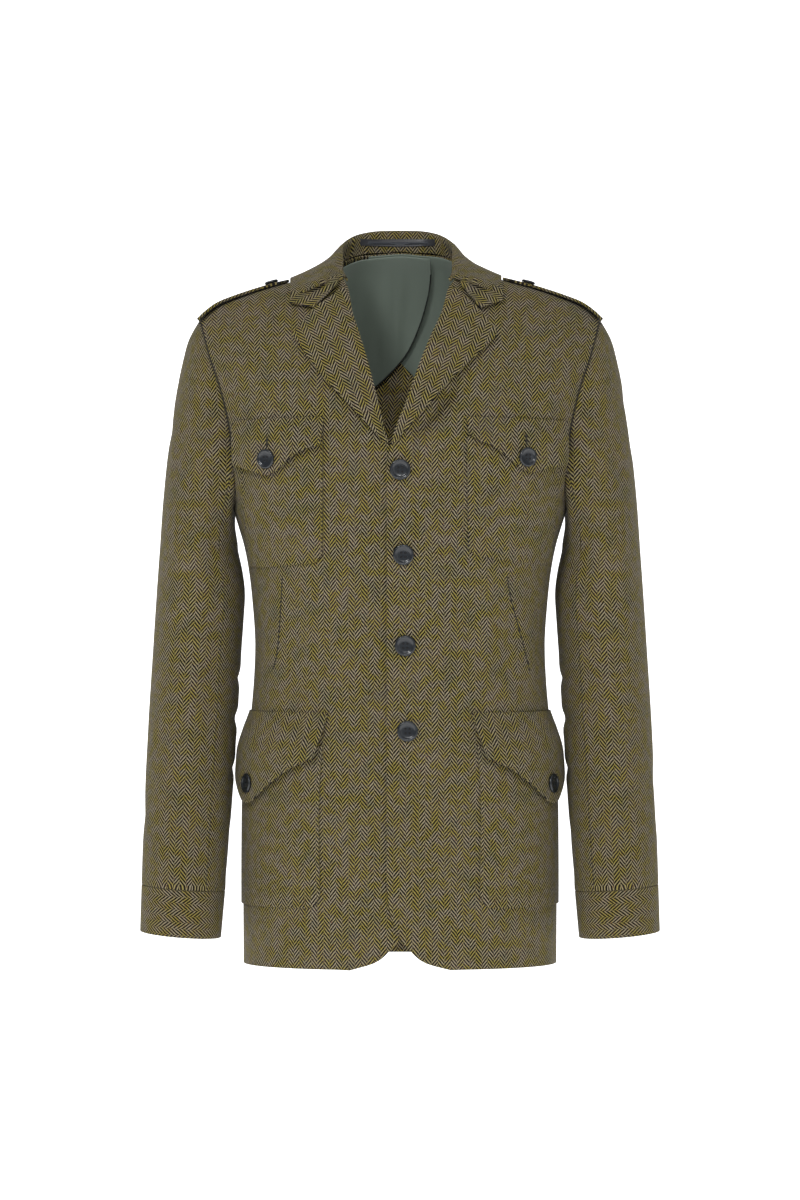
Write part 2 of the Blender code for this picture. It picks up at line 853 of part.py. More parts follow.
def sleeve_grid(side, points, top):
    turns = sleeve_turns(points, top)
    first = sleeve_ring(side, SLEEVE[0][0], turns)
    rows = []
    for step in range(CAP_ROWS + 1):
        row = []
        for start, end, turn in zip(points, first, turns):
            over = (1 + math.cos(math.radians(turn))) / 2
            row.append(cap_point(start, end, sleeve_start(side, turn), over, step / CAP_ROWS))
        rows.append(row)
    rows += [sleeve_ring(side, height, turns) for height in SLEEVE_ROWS]
    return np.array(rows), turns


def tube_normals(grid, side):
    """Normals of a grid that closes on itself along its rows, pointing away from the tube's middle."""
    along = np.roll(grid, -1, axis=1) - np.roll(grid, 1, axis=1)
    up = np.gradient(grid, axis=0)
    normal = np.cross(along, up)
    normal /= np.linalg.norm(normal, axis=2, keepdims=True) + 1e-12
    middle = grid.mean(axis=1, keepdims=True)
    middle[:CAP_CLAMPED, :, 0] = np.minimum(np.abs(middle[:CAP_CLAMPED, :, 0]), CAP_WIDEST) * side
    outward = np.einsum("jik,jik->ji", normal, grid - middle)
    if outward[-1].mean() < 0:
        normal *= -1
    return normal


def neckline_point(along, side):
    """A point of the neckline: 0 at centre back, 1 at the shoulder seam, 2 at the gorge."""
    if along <= 1.0:
        x = NECK_X * along
        return skin_at(x, CHEST + LEVEL_SPAN * neck_level(x), True)
    level = 1.0 - (1.0 - GORGE_LEVEL) * (along - 1.0)
    h = CHEST + LEVEL_SPAN * level
    return skin_at(inner_x(side, h), h, False)


def skin_height(x, y):
    """Height of the body's outer face under a place near the shoulders."""
    behind = y > 0
    low, high = 0.0, 1.0
    for _ in range(24):
        level = (low + high) / 2
        point = skin_at(abs(x), CHEST + LEVEL_SPAN * level, behind)
        if abs(point[1]) > abs(y):
            low = level
        else:
            high = level
    return skin_at(abs(x), CHEST + LEVEL_SPAN * level, behind)[2]


def collar_section(along, side):
    """One section of the collar, from the foot of the stand over the fold to the leaf's edge."""
    keys = column(COLLAR, 0)
    fold_x, fold_y, fold_z, edge_x, edge_y = (smooth(keys, column(COLLAR, k), along) for k in range(1, 6))
    wide = 1.0 - WIDER_RIGHT * side
    neck = neckline_point(along, side)
    fold = np.array((fold_x * wide, fold_y, fold_z))
    edge = np.array((edge_x * wide, edge_y, 0.0))
    up = fold - neck
    up /= np.linalg.norm(up)
    out = edge - fold
    out[2] = 0.0
    out /= np.linalg.norm(out)
    across = out - up * np.dot(out, up)
    across /= np.linalg.norm(across)
    foot = neck + up * STAND_LIFT
    crown = fold + up * FOLD / 2 + across * FOLD / 2
    turned = fold + across * FOLD
    points = [foot, (foot + fold) / 2 - across * STAND_BOW, fold, crown, turned]
    end = ease((along - LEAF_END) / (COLLAR_LENGTH - LEAF_END))
    for share in LEAF_SHARES:
        place = turned * (1 - share) + edge * share
        notch = np.array((NOTCH[0] * wide, NOTCH[1], 0.0))
        if share <= NOTCH_SHARE:
            bent = turned + (notch - turned) * share / NOTCH_SHARE
        else:
            bent = notch + (edge - notch) * (share - NOTCH_SHARE) / (1 - NOTCH_SHARE)
        place = place * (1 - end) + bent * end
        clear = LEAF_CLEARANCE + LEAF_BULGE * (1 - share)
        ground = skin_height(place[0], place[1]) + clear
        straight = turned[2] * (1 - share) + (skin_height(edge[0], edge[1]) + LEAF_CLEARANCE) * share
        place[2] = max(ground, straight)
        points.append(place)
    points = np.array(points)
    points[:, 0] *= side
    return points


def collar_panel():
    stations = [COLLAR_LENGTH * k / COLLAR_STATIONS for k in range(COLLAR_STATIONS + 1)]
    left = [collar_section(along, LEFT) for along in stations]
    right = [collar_section(along, RIGHT) for along in stations[:0:-1]]
    middle = np.array(right + left).transpose(1, 0, 2)
    normal = np.cross(np.gradient(middle, axis=0), np.gradient(middle, axis=1))
    normal /= np.linalg.norm(normal, axis=2, keepdims=True)
    if normal[0, len(right), 1] > 0:
        normal *= -1
    return Panel(middle + normal * WALL / 2, normal, WALL)


def distance_to_roll(side, spot):
    """Distance of a front-view place from the roll line of one side."""
    a = np.array(ROLL_LINE[side][1])
    b = np.array(ROLL_LINE[side][2])
    along = (b - a) / np.linalg.norm(b - a)
    away = np.array((spot[0] * side, spot[1])) - a
    return abs(along[0] * away[1] - along[1] * away[0])


def lapel_lift(side):
    def lift(spot):
        away = distance_to_roll(side, spot)
        roll = 1.0 - min(1.0, away / LAPEL_ROLL_REACH)
        lower = ease((LAPEL_STAND_TOP - spot[1]) / LAPEL_STAND_FADE) * ease(away / LAPEL_STAND_REACH)
        lower *= ease((spot[1] - LAPEL_STAND_LOW) / BREAK_FADE)
        return GAP + LAPEL_ROLL * math.sqrt(1.0 - roll * roll) * ease((spot[1] - BREAK) / BREAK_FADE) + LAPEL_STAND * lower
    return lift


def mirrored(outline, side):
    return [(side * x, z) for x, z in outline]


def side_panel(front, back, side):
    """The lower body round one side as one panel, from the centre front to the centre back."""
    rows = len(LOWER_ROWS)
    middle = BACK_NECK_COLUMNS + BACK_SHOULDER_COLUMNS
    if side == LEFT:
        behind, behind_normals = back.outer[:rows, :middle:-1], back.normals[:rows, :middle:-1]
    else:
        behind, behind_normals = back.outer[:rows, :middle], back.normals[:rows, :middle]
    outer = np.concatenate((front.outer[:rows], behind[:, 1:]), axis=1)
    normals = np.concatenate((front.normals[:rows], behind_normals[:, 1:]), axis=1)
    outer[:, FRONT_COLUMNS, 1] = 0.0
    seam = front.normals[:rows, -1] + behind_normals[:, 0]
    normals[:, FRONT_COLUMNS] = seam / np.linalg.norm(seam, axis=1, keepdims=True)
    flat = np.zeros(outer.shape[:2] + (2,))
    steps = np.linalg.norm(np.diff(outer, axis=1), axis=2)
    at = np.concatenate((np.zeros((rows, 1)), np.cumsum(steps, axis=1)), axis=1)
    flat[:, :, 0] = at[:, FRONT_COLUMNS:FRONT_COLUMNS + 1] - at
    flat[:, :, 1] = outer[:, :, 2]
    return Panel(outer, normals), flat


def hip_pocket_outline():
    front, behind = HIP_MIDDLE + HIP_HALF, HIP_MIDDLE - HIP_HALF
    low = HIP_POCKET_BOTTOM
    return [
        (front, HIP_POCKET_TOP),
        (front, low + HIP_CORNER),
        (front - HIP_CORNER * CORNER_CUT[0], low + HIP_CORNER * CORNER_CUT[1]),
        (front - HIP_CORNER, low),
        (behind + HIP_CORNER, low),
        (behind + HIP_CORNER * CORNER_CUT[0], low + HIP_CORNER * CORNER_CUT[1]),
        (behind, low + HIP_CORNER),
        (behind, HIP_POCKET_TOP),
    ]


def hip_flap_outline():
    ahead = [(HIP_MIDDLE + away, z) for away, z in HIP_FLAP]
    behind = [(HIP_MIDDLE - away, z) for away, z in HIP_FLAP[-2::-1]]
    return ahead + behind


def strap_solid(name, side):
    """A shoulder strap along the shoulder seam, flat across and clear of the cloth below."""
    xs = column(STRAP, 0)
    rows = []
    for k in range(STRAP_STATIONS + 1):
        share = k / STRAP_STATIONS
        drawn = xs[0] + (xs[-1] - xs[0]) * share ** STRAP_SPACING
        half = smooth(xs, column(STRAP, 1), drawn)
        x = STRAP_TIP[side] + (xs[-1] - STRAP_TIP[side]) * share ** STRAP_SPACING
        base = shoulder_height(x, False) + STRAP_LIFT
        row = [(side * x, half * a, base - STRAP_DROP * abs(a) * half / STRAP_HALF) for a in (-1.0, -0.5, 0.0, 0.5, 1.0)]
        rows.append(row)
    bottom = np.array(rows)
    normals = grid_normals(bottom, lambda grid: grid * 0 + np.array((0.0, 0.0, 1.0)))
    top = bottom + normals * STRAP_WALL
    panel = Panel(top, normals, STRAP_WALL, bottom)
    panel_solid(name, panel, TWEED)
    return panel


def disc(centre, radius, sides=12):
    turns = [2 * math.pi * k / sides for k in range(sides)]
    return [(centre[0] + radius * math.cos(a), centre[1] + radius * math.sin(a)) for a in turns]


def button(name, panel, flat, spot, radius, height, lift=0.0):
    """A button seated on what lies at lift over a panel, its back just clear of the highest point."""
    _, _, on, normal = cut_patch(panel, disc(spot, radius), flat)
    carried = on + normal * lift
    axis = normal.mean(axis=0)
    axis /= np.linalg.norm(axis)
    centre = carried.mean(axis=0)
    rise = ((carried - centre) @ axis).max() + GAP
    build_button(name, centre + axis * rise, axis, radius, height)


def build_button(name, seat, axis, radius, height):
    aside = np.cross(axis, np.array((0.0, 0.0, 1.0)))
    if np.linalg.norm(aside) < 0.3:
        aside = np.cross(axis, np.array((0.0, 1.0, 0.0)))
    aside /= np.linalg.norm(aside)
    above = np.cross(axis, aside)
    points = [seat]
    for share, rise in BUTTON_PROFILE[1:-1]:
        for k in range(BUTTON_SIDES):
            turn = 2 * math.pi * k / BUTTON_SIDES
            spoke = aside * math.cos(turn) + above * math.sin(turn)
            points.append(seat + spoke * radius * share + axis * height * rise)
    points.append(seat + axis * height * BUTTON_PROFILE[-1][1])
    rings = len(BUTTON_PROFILE) - 2
    faces = []
    for k in range(BUTTON_SIDES):
        after = (k + 1) % BUTTON_SIDES
        faces.append((0, 1 + after, 1 + k))
        for ring in range(rings - 1):
            a, b = 1 + ring * BUTTON_SIDES, 1 + (ring + 1) * BUTTON_SIDES
            faces.append((a + k, a + after, b + after, b + k))
        last = 1 + (rings - 1) * BUTTON_SIDES
        faces.append((last + k, last + after, len(points) - 1))
    make_object(name, np.array(points), faces, HORN, 0.35)


def side_name(side):
    return "left" if side == LEFT else "right"


def build_body():
    """Fronts, back and sleeves, meeting face to face round each armhole."""
    fronts = {}
    back = back_grid()
    back_panel = Panel(back, grid_normals(back, away_from_axis))
    first = len(LOWER_ROWS)
    for side in (LEFT, RIGHT):
        grid = front_grid(side)
        fronts[side] = Panel(grid, grid_normals(grid, away_from_axis))
    clamp_side_seams(fronts, back_panel, first)
    for side in (LEFT, RIGHT):
        build_sleeve(side, fronts[side], back_panel, first)
    for side in (LEFT, RIGHT):
        panel_solid("front_" + side_name(side), fronts[side], TWEED)
    panel_solid("back", back_panel, TWEED_DARK)
    return fronts, back_panel


def clamp_side_seams(fronts, back, first):
    """Keeps each wall on its own side of the side seams and the shoulder seams."""
    for side in (LEFT, RIGHT):
        fronts[side].inner[:first + 1, -1, 1] = -HALF_GAP
        fronts[side].inner[-1, :, 1] = -HALF_GAP
    for edge in (0, -1):
        back.inner[:first + 1, edge, 1] = HALF_GAP
    back.inner[-1, :BACK_SHOULDER_COLUMNS + 1, 1] = HALF_GAP
    back.inner[-1, -BACK_SHOULDER_COLUMNS - 1:, 1] = HALF_GAP


def build_sleeve(side, front, back, first):
    points, body_normals, top = armhole_loop(front, back, side, first)
    grid, turns = sleeve_grid(side, points, top)
    normals = tube_normals(grid, side)
    inner = grid - normals * WALL
    around = np.roll(points, -1, axis=0) - np.roll(points, 1, axis=0)
    seams = []
    for k in range(len(points)):
        into_sleeve = grid[1, k] - grid[0, k]
        inward = seam_direction(side, around[k], body_normals[k], normals[0, k], into_sleeve)
        aside = unit(np.cross(around[k], inward))
        if np.dot(aside, into_sleeve + np.array((side * 20.0, 0.0, 0.0))) < 0:
            aside = -aside
        seams.append((inward * WALL, aside * HALF_GAP))
    edge = -1 if side == LEFT else 0
    rows = front.outer.shape[0]
    for k, (inward, aside) in enumerate(seams):
        grid[0, k] = points[k] + aside
        inner[0, k] = points[k] + aside + inward
        if k <= top:
            set_edge(front, first + k, -1, points[k] - aside, inward, -HALF_GAP, k in (0, top))
        if k == 0 or k >= top:
            j = first + (len(points) - k) % len(points) if k else first
            j = min(j, rows - 1)
            set_edge(back, j, edge, points[k] - aside, inward, HALF_GAP, k in (0, top))
    for panel, beside in ((front, -2), (back, -2 if side == LEFT else 1)):
        for layer in (panel.outer, panel.inner):
            layer[first - 1:first + 3, beside, 0] -= side * UNDERARM_TUCK
    sleeve = Panel(grid, normals, WALL, inner)
    split_sleeve(side, sleeve)
    cuff = np.array([sleeve_ring(side, height, turns) for height in CUFF_ROWS])
    cuff[0, :, 2] -= GAP
    panel_solid("cuff_" + side_name(side), Panel(cuff, tube_normals(cuff, side)), TWEED, closed=True)


def set_edge(panel, j, i, point, inward, seam_y, on_seam):
    panel.outer[j, i] = point
    panel.inner[j, i] = point + inward
    if on_seam:
        panel.outer[j, i, 1] = seam_y
        panel.inner[j, i, 1] = seam_y


def split_sleeve(side, sleeve):
    """The under sleeve takes the columns either side of the underarm, and the top sleeve the rest."""
    count = sleeve.outer.shape[1]
    reach = UNDER_SLEEVE_REACH
    under = [k % count for k in range(-reach, reach + 1)]
    over = [k % count for k in range(reach, count - reach + 1)]
    for name, columns in (("sleeve_under_", under), ("sleeve_top_", over)):
        outer = sleeve.outer[:, columns].copy()
        inner = sleeve.inner[:, columns].copy()
        for end, beside in ((0, 1), (-1, -2)):
            step = outer[:, beside] - outer[:, end]
            step *= HALF_GAP / np.linalg.norm(step, axis=1, keepdims=True)
            outer[:, end] += step
            inner[:, end] += step
        panel_solid(name + side_name(side), Panel(outer, None, WALL, inner), TWEED)


def build_lapels(fronts):
    for side in (LEFT, RIGHT):
        front = fronts[side]
        patch_solid(
            "lapel_" + side_name(side),
            front,
            mirrored(LAPEL[side], side),
            front_view(front.outer),
            lapel_lift(side),
            PATCH_WALL,
            TWEED,
        )


def build_lining(back):
    """Two satin panels that cross at the centre back: the wearer's right one lies on top."""
    deeper = {RIGHT: 2 * GAP + WALL + LINING_WALL, LEFT: GAP + WALL}
    for side in (LEFT, RIGHT):
        outline = rounded(LINING_EDGE, 1) + list(LINING_OUTER)
        outline = mirrored(outline, -side)
        lift = -(deeper[side] + LINING_WALL)
        patch_solid(
            "back_lining_" + side_name(side),
            back,
            outline,
            front_view(back.outer),
            lift,
            LINING_WALL,
            SATIN,
        )


def build_loop(collar):
    """A strip along the inside of the collar stand."""
    stand_rows = (0, 2)
    view = front_view(collar.outer)
    patch_solid("hanger_loop", collar, LOOP, view, GAP, LOOP_WALL, NAVY_SATIN, stand_rows)


def build_pockets(fronts, back):
    for side in (LEFT, RIGHT):
        front, name = fronts[side], side_name(side)
        view = front_view(front.outer)
        over = GAP + PATCH_WALL + GAP
        patch_solid("chest_pocket_" + name, front, mirrored(CHEST_POCKET[side], side), view, GAP, PATCH_WALL, TWEED)
        patch_solid("chest_flap_" + name, front, mirrored(CHEST_FLAP[side], side), view, over, PATCH_WALL, TWEED)
        spot = mirrored([CHEST_BUTTON[side]], side)[0]
        button("chest_button_" + name, front, view, spot, POCKET_BUTTON_RADIUS, BUTTON_HEIGHT, over + PATCH_WALL)
        around, flat = side_panel(front, back, side)
        patch_solid("hip_pocket_" + name, around, hip_pocket_outline(), flat, GAP, PATCH_WALL, TWEED)
        patch_solid("hip_flap_" + name, around, hip_flap_outline(), flat, over, PATCH_WALL, TWEED)
        spot = (HIP_MIDDLE, HIP_BUTTON_HEIGHT)
        button("hip_button_" + name, around, flat, spot, POCKET_BUTTON_RADIUS, BUTTON_HEIGHT, over + PATCH_WALL)


def build_straps():
    for side in (LEFT, RIGHT):
        name = side_name(side)
        strap = strap_solid("epaulette_" + name, side)
        flat = strap.outer[:, :, :2]
        spot = (side * STRAP_BUTTON_X, 0.0)
        button("epaulette_button_" + name, strap, flat, spot, STRAP_BUTTON_RADIUS, STRAP_BUTTON_HEIGHT)


def build_front_buttons(front):
    view = front_view(front.outer)
    for number, spot in enumerate(FRONT_BUTTONS, start=1):
        button("front_button_%d" % number, front, view, spot, FRONT_BUTTON_RADIUS, BUTTON_HEIGHT)


def build():
    clear_scene()
    fronts, back = build_body()
    build_lapels(fronts)
    collar = collar_panel()
    panel_solid("collar", collar, TWEED)
    build_loop(collar)
    build_lining(back)
    build_pockets(fronts, back)
    build_straps()
    build_front_buttons(fronts[LEFT])


build()
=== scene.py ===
"""A herringbone tweed field jacket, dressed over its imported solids."""

import math

import bpy
import numpy as np
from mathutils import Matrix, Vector
from mathutils.geometry import delaunay_2d_cdt
from numpy.linalg import norm


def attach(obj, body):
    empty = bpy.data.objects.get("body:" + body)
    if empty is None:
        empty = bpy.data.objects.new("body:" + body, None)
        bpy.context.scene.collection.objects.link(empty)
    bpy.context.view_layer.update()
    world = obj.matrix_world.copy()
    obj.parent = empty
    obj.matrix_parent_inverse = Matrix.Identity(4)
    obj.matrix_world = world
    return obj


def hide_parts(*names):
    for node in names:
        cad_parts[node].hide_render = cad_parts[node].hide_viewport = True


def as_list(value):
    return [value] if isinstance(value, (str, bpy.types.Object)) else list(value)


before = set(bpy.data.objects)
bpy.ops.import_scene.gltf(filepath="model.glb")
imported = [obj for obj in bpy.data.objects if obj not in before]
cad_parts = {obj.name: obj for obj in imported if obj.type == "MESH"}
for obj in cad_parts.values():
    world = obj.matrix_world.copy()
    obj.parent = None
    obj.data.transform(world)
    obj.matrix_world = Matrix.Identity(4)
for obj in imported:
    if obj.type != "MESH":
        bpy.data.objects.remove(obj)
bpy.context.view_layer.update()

MM = 0.001
NEARLY_ZERO = 1e-12
LEFT = 1
RIGHT = -1
SIDES = ((LEFT, "left"), (RIGHT, "right"))

# Cloth
WALL = 2.2
PATCH_WALL = 1.8
LINING_WALL = 1.0
GAP = 0.3
HALF_GAP = 0.15

# Heights
HEM = -727.0
CHEST = -216.0
UNDERARM = -258.0
CUTAWAY_TOP = -640.0
SHOULDERS_FROM = -120.0

# Body: rings from hem to chest
RING_POWER = 2.4
RISE_POWER = 2.2
RINGS = (
    # height, half_width, front, back
    (-727.0, 162.5, 112.0, 118.0),
    (-640.0, 163.0, 116.0, 121.0),
    (-544.0, 162.0, 118.0, 119.0),
    (-470.0, 155.0, 117.0, 109.0),
    (-403.0, 150.5, 117.0, 102.0),
    (-341.0, 154.5, 120.0, 107.0),
    (-300.0, 161.0, 123.0, 112.0),
    (-263.0, 171.5, 124.0, 118.0),
    (-216.0, 183.4, 124.0, 122.0),
)

# Armhole seen from the front, as a share of the ring's half width at its edge
ARMHOLE_SHARE = 0.935
ARMHOLE = (
    # height, x
    (-216.0, 171.5), (-176.0, 176.0), (-147.0, 182.0), (-118.0, 191.0), (-89.0, 201.0),
    (-64.5, 210.5),
)

# Shoulder seam, and how the cloth would go on to the middle of the neck
NECK_X = 75.0
NECK_BLEND_X = 40.0
SHOULDER = (
    # x, height
    (75.0, -7.0), (90.0, -13.0), (106.0, -19.0), (133.0, -26.0), (153.0, -32.0), (172.0, -38.5),
    (187.0, -44.5), (198.0, -52.0), (211.0, -64.5), (228.0, -88.0),
)
BACK_NECK = (
    # x, height
    (0.0, 43.0), (28.0, 38.0), (52.0, 22.0), (66.0, 4.0), (75.0, -7.0),
)
FRONT_NECK_HEIGHT = -3.0
NECK_DROP = 0.315
NECK_DROP_POWER = 2.6
NECK_DROP_ROUND = 0.62
# How rows crowd towards the shoulder
ROW_POWER = 1.6

# Front edge, roll line and neckline
LAP = 13.5
CUT_WIDTH = 65.0
GORGE_LEVEL = 0.70
ROLL_LINE = {
    LEFT: ((-13.5, -197.0), (-3.0, -178.5), (42.0, -60.0), (47.0, -42.0)),
    RIGHT: ((-13.5, -232.0), (11.8, -195.0), (47.6, -62.0), (51.0, -43.0)),
}
GORGE_X = {LEFT: 52.0, RIGHT: 54.5}
FRONT_NECKLINE = (
    # level, x
    (0.798, 63.0), (0.902, 70.5), (1.0, 75.0),
)
UNDERLAP_DEPTH = 3.3
UNDERLAP_START = 34.0
UNDERLAP_END = 15.0
UNDERLAP_TOP = -150.0
UNDERLAP_FADE = 40.0

# Rows of the panels: where each starts at the middle and ends at the side
LEVEL_SPAN = 216.0
LOWER_ROWS = (
    # middle, side
    *((z, z) for z in (-727.0, -720.4, -701.5, -673.3, -640.0, -598.0, -556.0, -514.0, -472.0, -432.0)),
    (-394.0, -396.0), (-352.0, -358.0), (-312.0, -326.0), (-272.0, -294.0),
)
ARMHOLE_ROWS = (
    # middle, turn of the armhole's bottom (90 is underarm), side height
    (-238.0, 90.0, -258.0),
    (-219.0, 64.0, 0.0),
    (-200.0, 40.0, 0.0),
    (-178.0, 18.0, 0.0),
    (-155.0, 0.0, -216.0),
    (-130.0, 0.0, -186.0),
    (-105.0, 0.0, -152.0),
    (-80.0, 0.0, -116.0),
    (-54.0, 0.0, -78.0),
    (-27.0, 0.0, -38.0),
    (0.0, 0.0, 0.0),
)
FRONT_COLUMNS = 13
BACK_NECK_COLUMNS = 5
BACK_SHOULDER_COLUMNS = 6

# Sleeves and cuffs
SLEEVE = (
    # height, inner_x, outer_x, middle_y, half_depth
    (-300.0, 168.5, 250.0, 4.0, 65.0),
    (-341.0, 161.5, 253.0, 5.0, 63.0),
    (-403.0, 165.0, 257.0, 5.0, 60.0),
    (-470.0, 169.0, 261.0, 0.0, 57.0),
    (-540.0, 173.0, 264.0, -9.0, 54.0),
    (-600.0, 177.0, 266.0, -20.0, 51.5),
    (-648.0, 180.5, 267.0, -29.0, 50.0),
    (-696.0, 184.5, 268.0, -38.0, 49.0),
)
CUFF_TOP = -648.0
CUFF_TILT = 3.5
CAP_ROWS = 6
SLEEVE_ROWS = (-320.0, -341.0, -372.0, -403.0, -436.0, -470.0, -505.0, -540.0, -575.0, -612.0, CUFF_TOP)
CUFF_ROWS = (CUFF_TOP, -672.0, -696.0)
UNDER_SLEEVE_REACH = 4
UNDERARM_TUCK = 1.0
MITRE_LIMIT = 1.35
SEAM_PULL = 0.5
# How a sleeve leaves the armhole: outward at the underarm and more over it, forward, down
LEAVE_OUT = (0.22, 0.53)
LEAVE_FORWARD = 0.40
LEAVE_DOWN = (0.66, 0.34)
CAP_LEAN = 0.055
CAP_WIDEST = 205.0
CAP_CLAMPED = 8
ARM_SIDE = 20.0
CAP_HANDLE = (12.0, 22.0)
CAP_LIFT_SHARE = (0.33, 0.46)

# Collar
WIDER_RIGHT = 0.04
STAND_LIFT = 1.2
FOLD = 3.2
COLLAR = (
    # neckline, fold_x, fold_y, fold_z, edge_x, edge_y
    (0.00, 0.0, 67.0, 36.3, 0.0, 86.0),
    (0.28, 21.0, 65.0, 35.6, 29.0, 85.0),
    (0.52, 38.0, 58.0, 32.0, 57.0, 78.0),
    (0.74, 50.0, 45.0, 25.5, 80.0, 61.0),
    (0.92, 56.5, 24.0, 16.0, 98.0, 38.0),
    (1.00, 57.8, 2.0, 7.0, 106.0, 8.0),
    (1.35, 57.5, -19.0, -2.5, 109.0, -18.0),
    (1.70, 56.5, -39.0, -12.5, 108.5, -41.0),
    (2.00, 53.5, -55.0, -20.5, 107.5, -60.0),
)
COLLAR_STATIONS = 13
# Along the collar: 1 at the shoulder seam, 2 at its end, and where the notch starts to shape the leaf
COLLAR_LENGTH = 2.0
LEAF_END = 1.55
STAND_BOW = 0.6
NOTCH = (82.0, -76.0)
NOTCH_SHARE = 0.48
LEAF_SHARES = (0.24, 0.48, 0.74, 1.0)
LEAF_CLEARANCE = 3.6
LEAF_BULGE = 2.0

# Lapels, seen from the front: x and height
LAPEL = {
    LEFT: (
        (50.8, -31.0), (78.0, -55.5), (97.0, -79.0), (97.5, -84.0), (76.0, -104.5),
        (55.5, -124.5), (27.0, -157.0), (2.5, -183.5), (-6.0, -193.0), (-20.0, -190.0),
        (-20.0, -120.0), (20.0, -31.0),
    ),
    RIGHT: (
        (53.2, -31.0), (86.0, -55.5), (107.0, -80.5), (107.0, -84.5), (91.0, -107.5),
        (73.0, -131.0), (40.5, -166.0), (17.0, -192.0), (5.0, -192.0), (0.0, -120.0),
        (20.0, -31.0),
    ),
}
LAPEL_ROLL = 3.4
LAPEL_ROLL_REACH = 11.0
BREAK = -200.0
BREAK_FADE = 30.0
LAPEL_STAND_TOP = -95.0
LAPEL_STAND_LOW = -196.0
LAPEL_STAND_FADE = 60.0
LAPEL_STAND_REACH = 26.0
LAPEL_STAND = {LEFT: 9.0, RIGHT: 4.2}

# Back lining, seen from the front: the free edge of the one that lies on top
LINING_EDGE = (
    (34.0, 12.0), (34.5, -13.0), (26.5, -44.0), (16.0, -72.0), (5.0, -93.0), (-25.0, -123.0),
    (-62.0, -152.0), (-104.0, -180.0), (-146.0, -205.0),
)
LINING_OUTER = (
    (-160.0, -214.0), (-165.0, -176.0), (-171.0, -147.0), (-180.0, -116.0), (-187.0, -90.0),
    (-184.0, -66.0), (-150.0, -44.0), (-106.0, -30.0), (-80.0, -17.0), (-66.0, 6.0),
    (-60.0, 40.0), (34.0, 40.0),
)

# Hanger loop on the inside of the collar stand, seen from the front
LOOP_WALL = 1.0
LOOP = ((-42.0, 21.5), (0.0, 20.8), (37.0, 21.5), (37.0, 28.2), (0.0, 28.9), (-42.0, 28.2))

# Pockets, seen from the front: x and height
CHEST_POCKET = {
    LEFT: (
        (67.6, -186.0), (69.0, -299.8), (78.0, -306.9), (136.0, -314.9), (154.0, -314.0), (163.0, -186.0),
    ),
    RIGHT: (
        (78.0, -186.0), (78.6, -306.9), (87.2, -314.0), (138.0, -317.9), (154.0, -316.5), (163.0, -186.0),
    ),
}
CHEST_FLAP = {
    LEFT: (
        (67.0, -166.0), (69.0, -183.0), (78.0, -190.2), (90.3, -194.3), (105.0, -205.0),
        (120.0, -217.5), (129.9, -221.3), (146.5, -216.0), (165.0, -211.3), (169.5, -168.0),
    ),
    RIGHT: (
        (77.0, -166.0), (79.1, -194.3), (94.4, -198.3), (106.6, -205.0), (121.0, -219.0),
        (132.6, -224.4), (149.3, -218.0), (165.0, -212.1), (169.5, -168.0),
    ),
}
CHEST_BUTTON = {LEFT: (125.5, -205.5), RIGHT: (132.0, -207.5)}

# Hip pockets, on the cloth: distance forward of the side, and height
HIP_MIDDLE = 56.0
HIP_POCKET = (
    # from_middle, height
    (90.0, -500.0), (90.0, -651.0), (84.4, -661.5), (76.0, -665.0),
)
HIP_FLAP = (
    # from_middle, height
    (92.0, -466.0), (88.0, -494.0), (84.0, -512.0), (60.0, -523.0), (34.0, -541.0),
    (12.0, -557.0), (0.0, -560.5),
)
HIP_BUTTON_HEIGHT = -540.0

# Shoulder straps
STRAP = (
    # x, half_width
    (104.0, 0.8), (108.0, 10.0), (115.0, 18.5), (135.0, 20.5), (165.0, 22.5), (190.0, 24.0),
    (208.5, 25.0),
)
STRAP_STATIONS = 18
SIDE_PANEL_TOP = -440.0
STRAP_LIFT = 0.9
STRAP_TIP = {LEFT: 106.5, RIGHT: 115.0}
STRAP_DROP = 1.6
STRAP_HALF = 25.0
STRAP_SPACING = 1.25
STRAP_ACROSS = (-1.0, -0.5, 0.0, 0.5, 1.0)
STRAP_WALL = 2.6
STRAP_BUTTON_X = 133.0

# Buttons
FRONT_BUTTONS = (
    # x, height
    (0.3, -219.0), (3.9, -306.0), (5.6, -398.0), (7.7, -484.5),
)
FRONT_BUTTON_RADIUS = 10.6
POCKET_BUTTON_RADIUS = 10.0
STRAP_BUTTON_RADIUS = 7.2
BUTTON_HEIGHT = 3.4
STRAP_BUTTON_HEIGHT = 2.8


def column(table, index):
    return [row[index] for row in table]


def slopes(xs, ys):
    """Slopes of a curve through the points that never overshoots them."""
    steps = [(ys[k + 1] - ys[k]) / (xs[k + 1] - xs[k]) for k in range(len(xs) - 1)]
    inner = []
    for before, after in zip(steps, steps[1:]):
        inner.append(0.0 if before * after <= 0 else 2.0 * before * after / (before + after))
    return [steps[0]] + inner + [steps[-1]]


def smooth(xs, ys, x):
    """The height at x of a smooth curve through the points, held flat past its ends."""
    if x <= xs[0]:
        return ys[0]
    if x >= xs[-1]:
        return ys[-1]
    k = max(i for i in range(len(xs) - 1) if xs[i] <= x)
    width = xs[k + 1] - xs[k]
    t = (x - xs[k]) / width
    slope = slopes(xs, ys)
    rise = ys[k] * (1 + 2 * t) * (1 - t) ** 2 + ys[k + 1] * t * t * (3 - 2 * t)
    return rise + width * (slope[k] * t * (1 - t) ** 2 - slope[k + 1] * t * t * (1 - t))


def ease(t):
    t = min(1.0, max(0.0, t))
    return t * t * (3 - 2 * t)


def read(table, index, at):
    """One column of a table, read smoothly where its first column is at."""
    return smooth(column(table, 0), column(table, index), at)


def cos_sin(degrees):
    return math.cos(math.radians(degrees)), math.sin(math.radians(degrees))


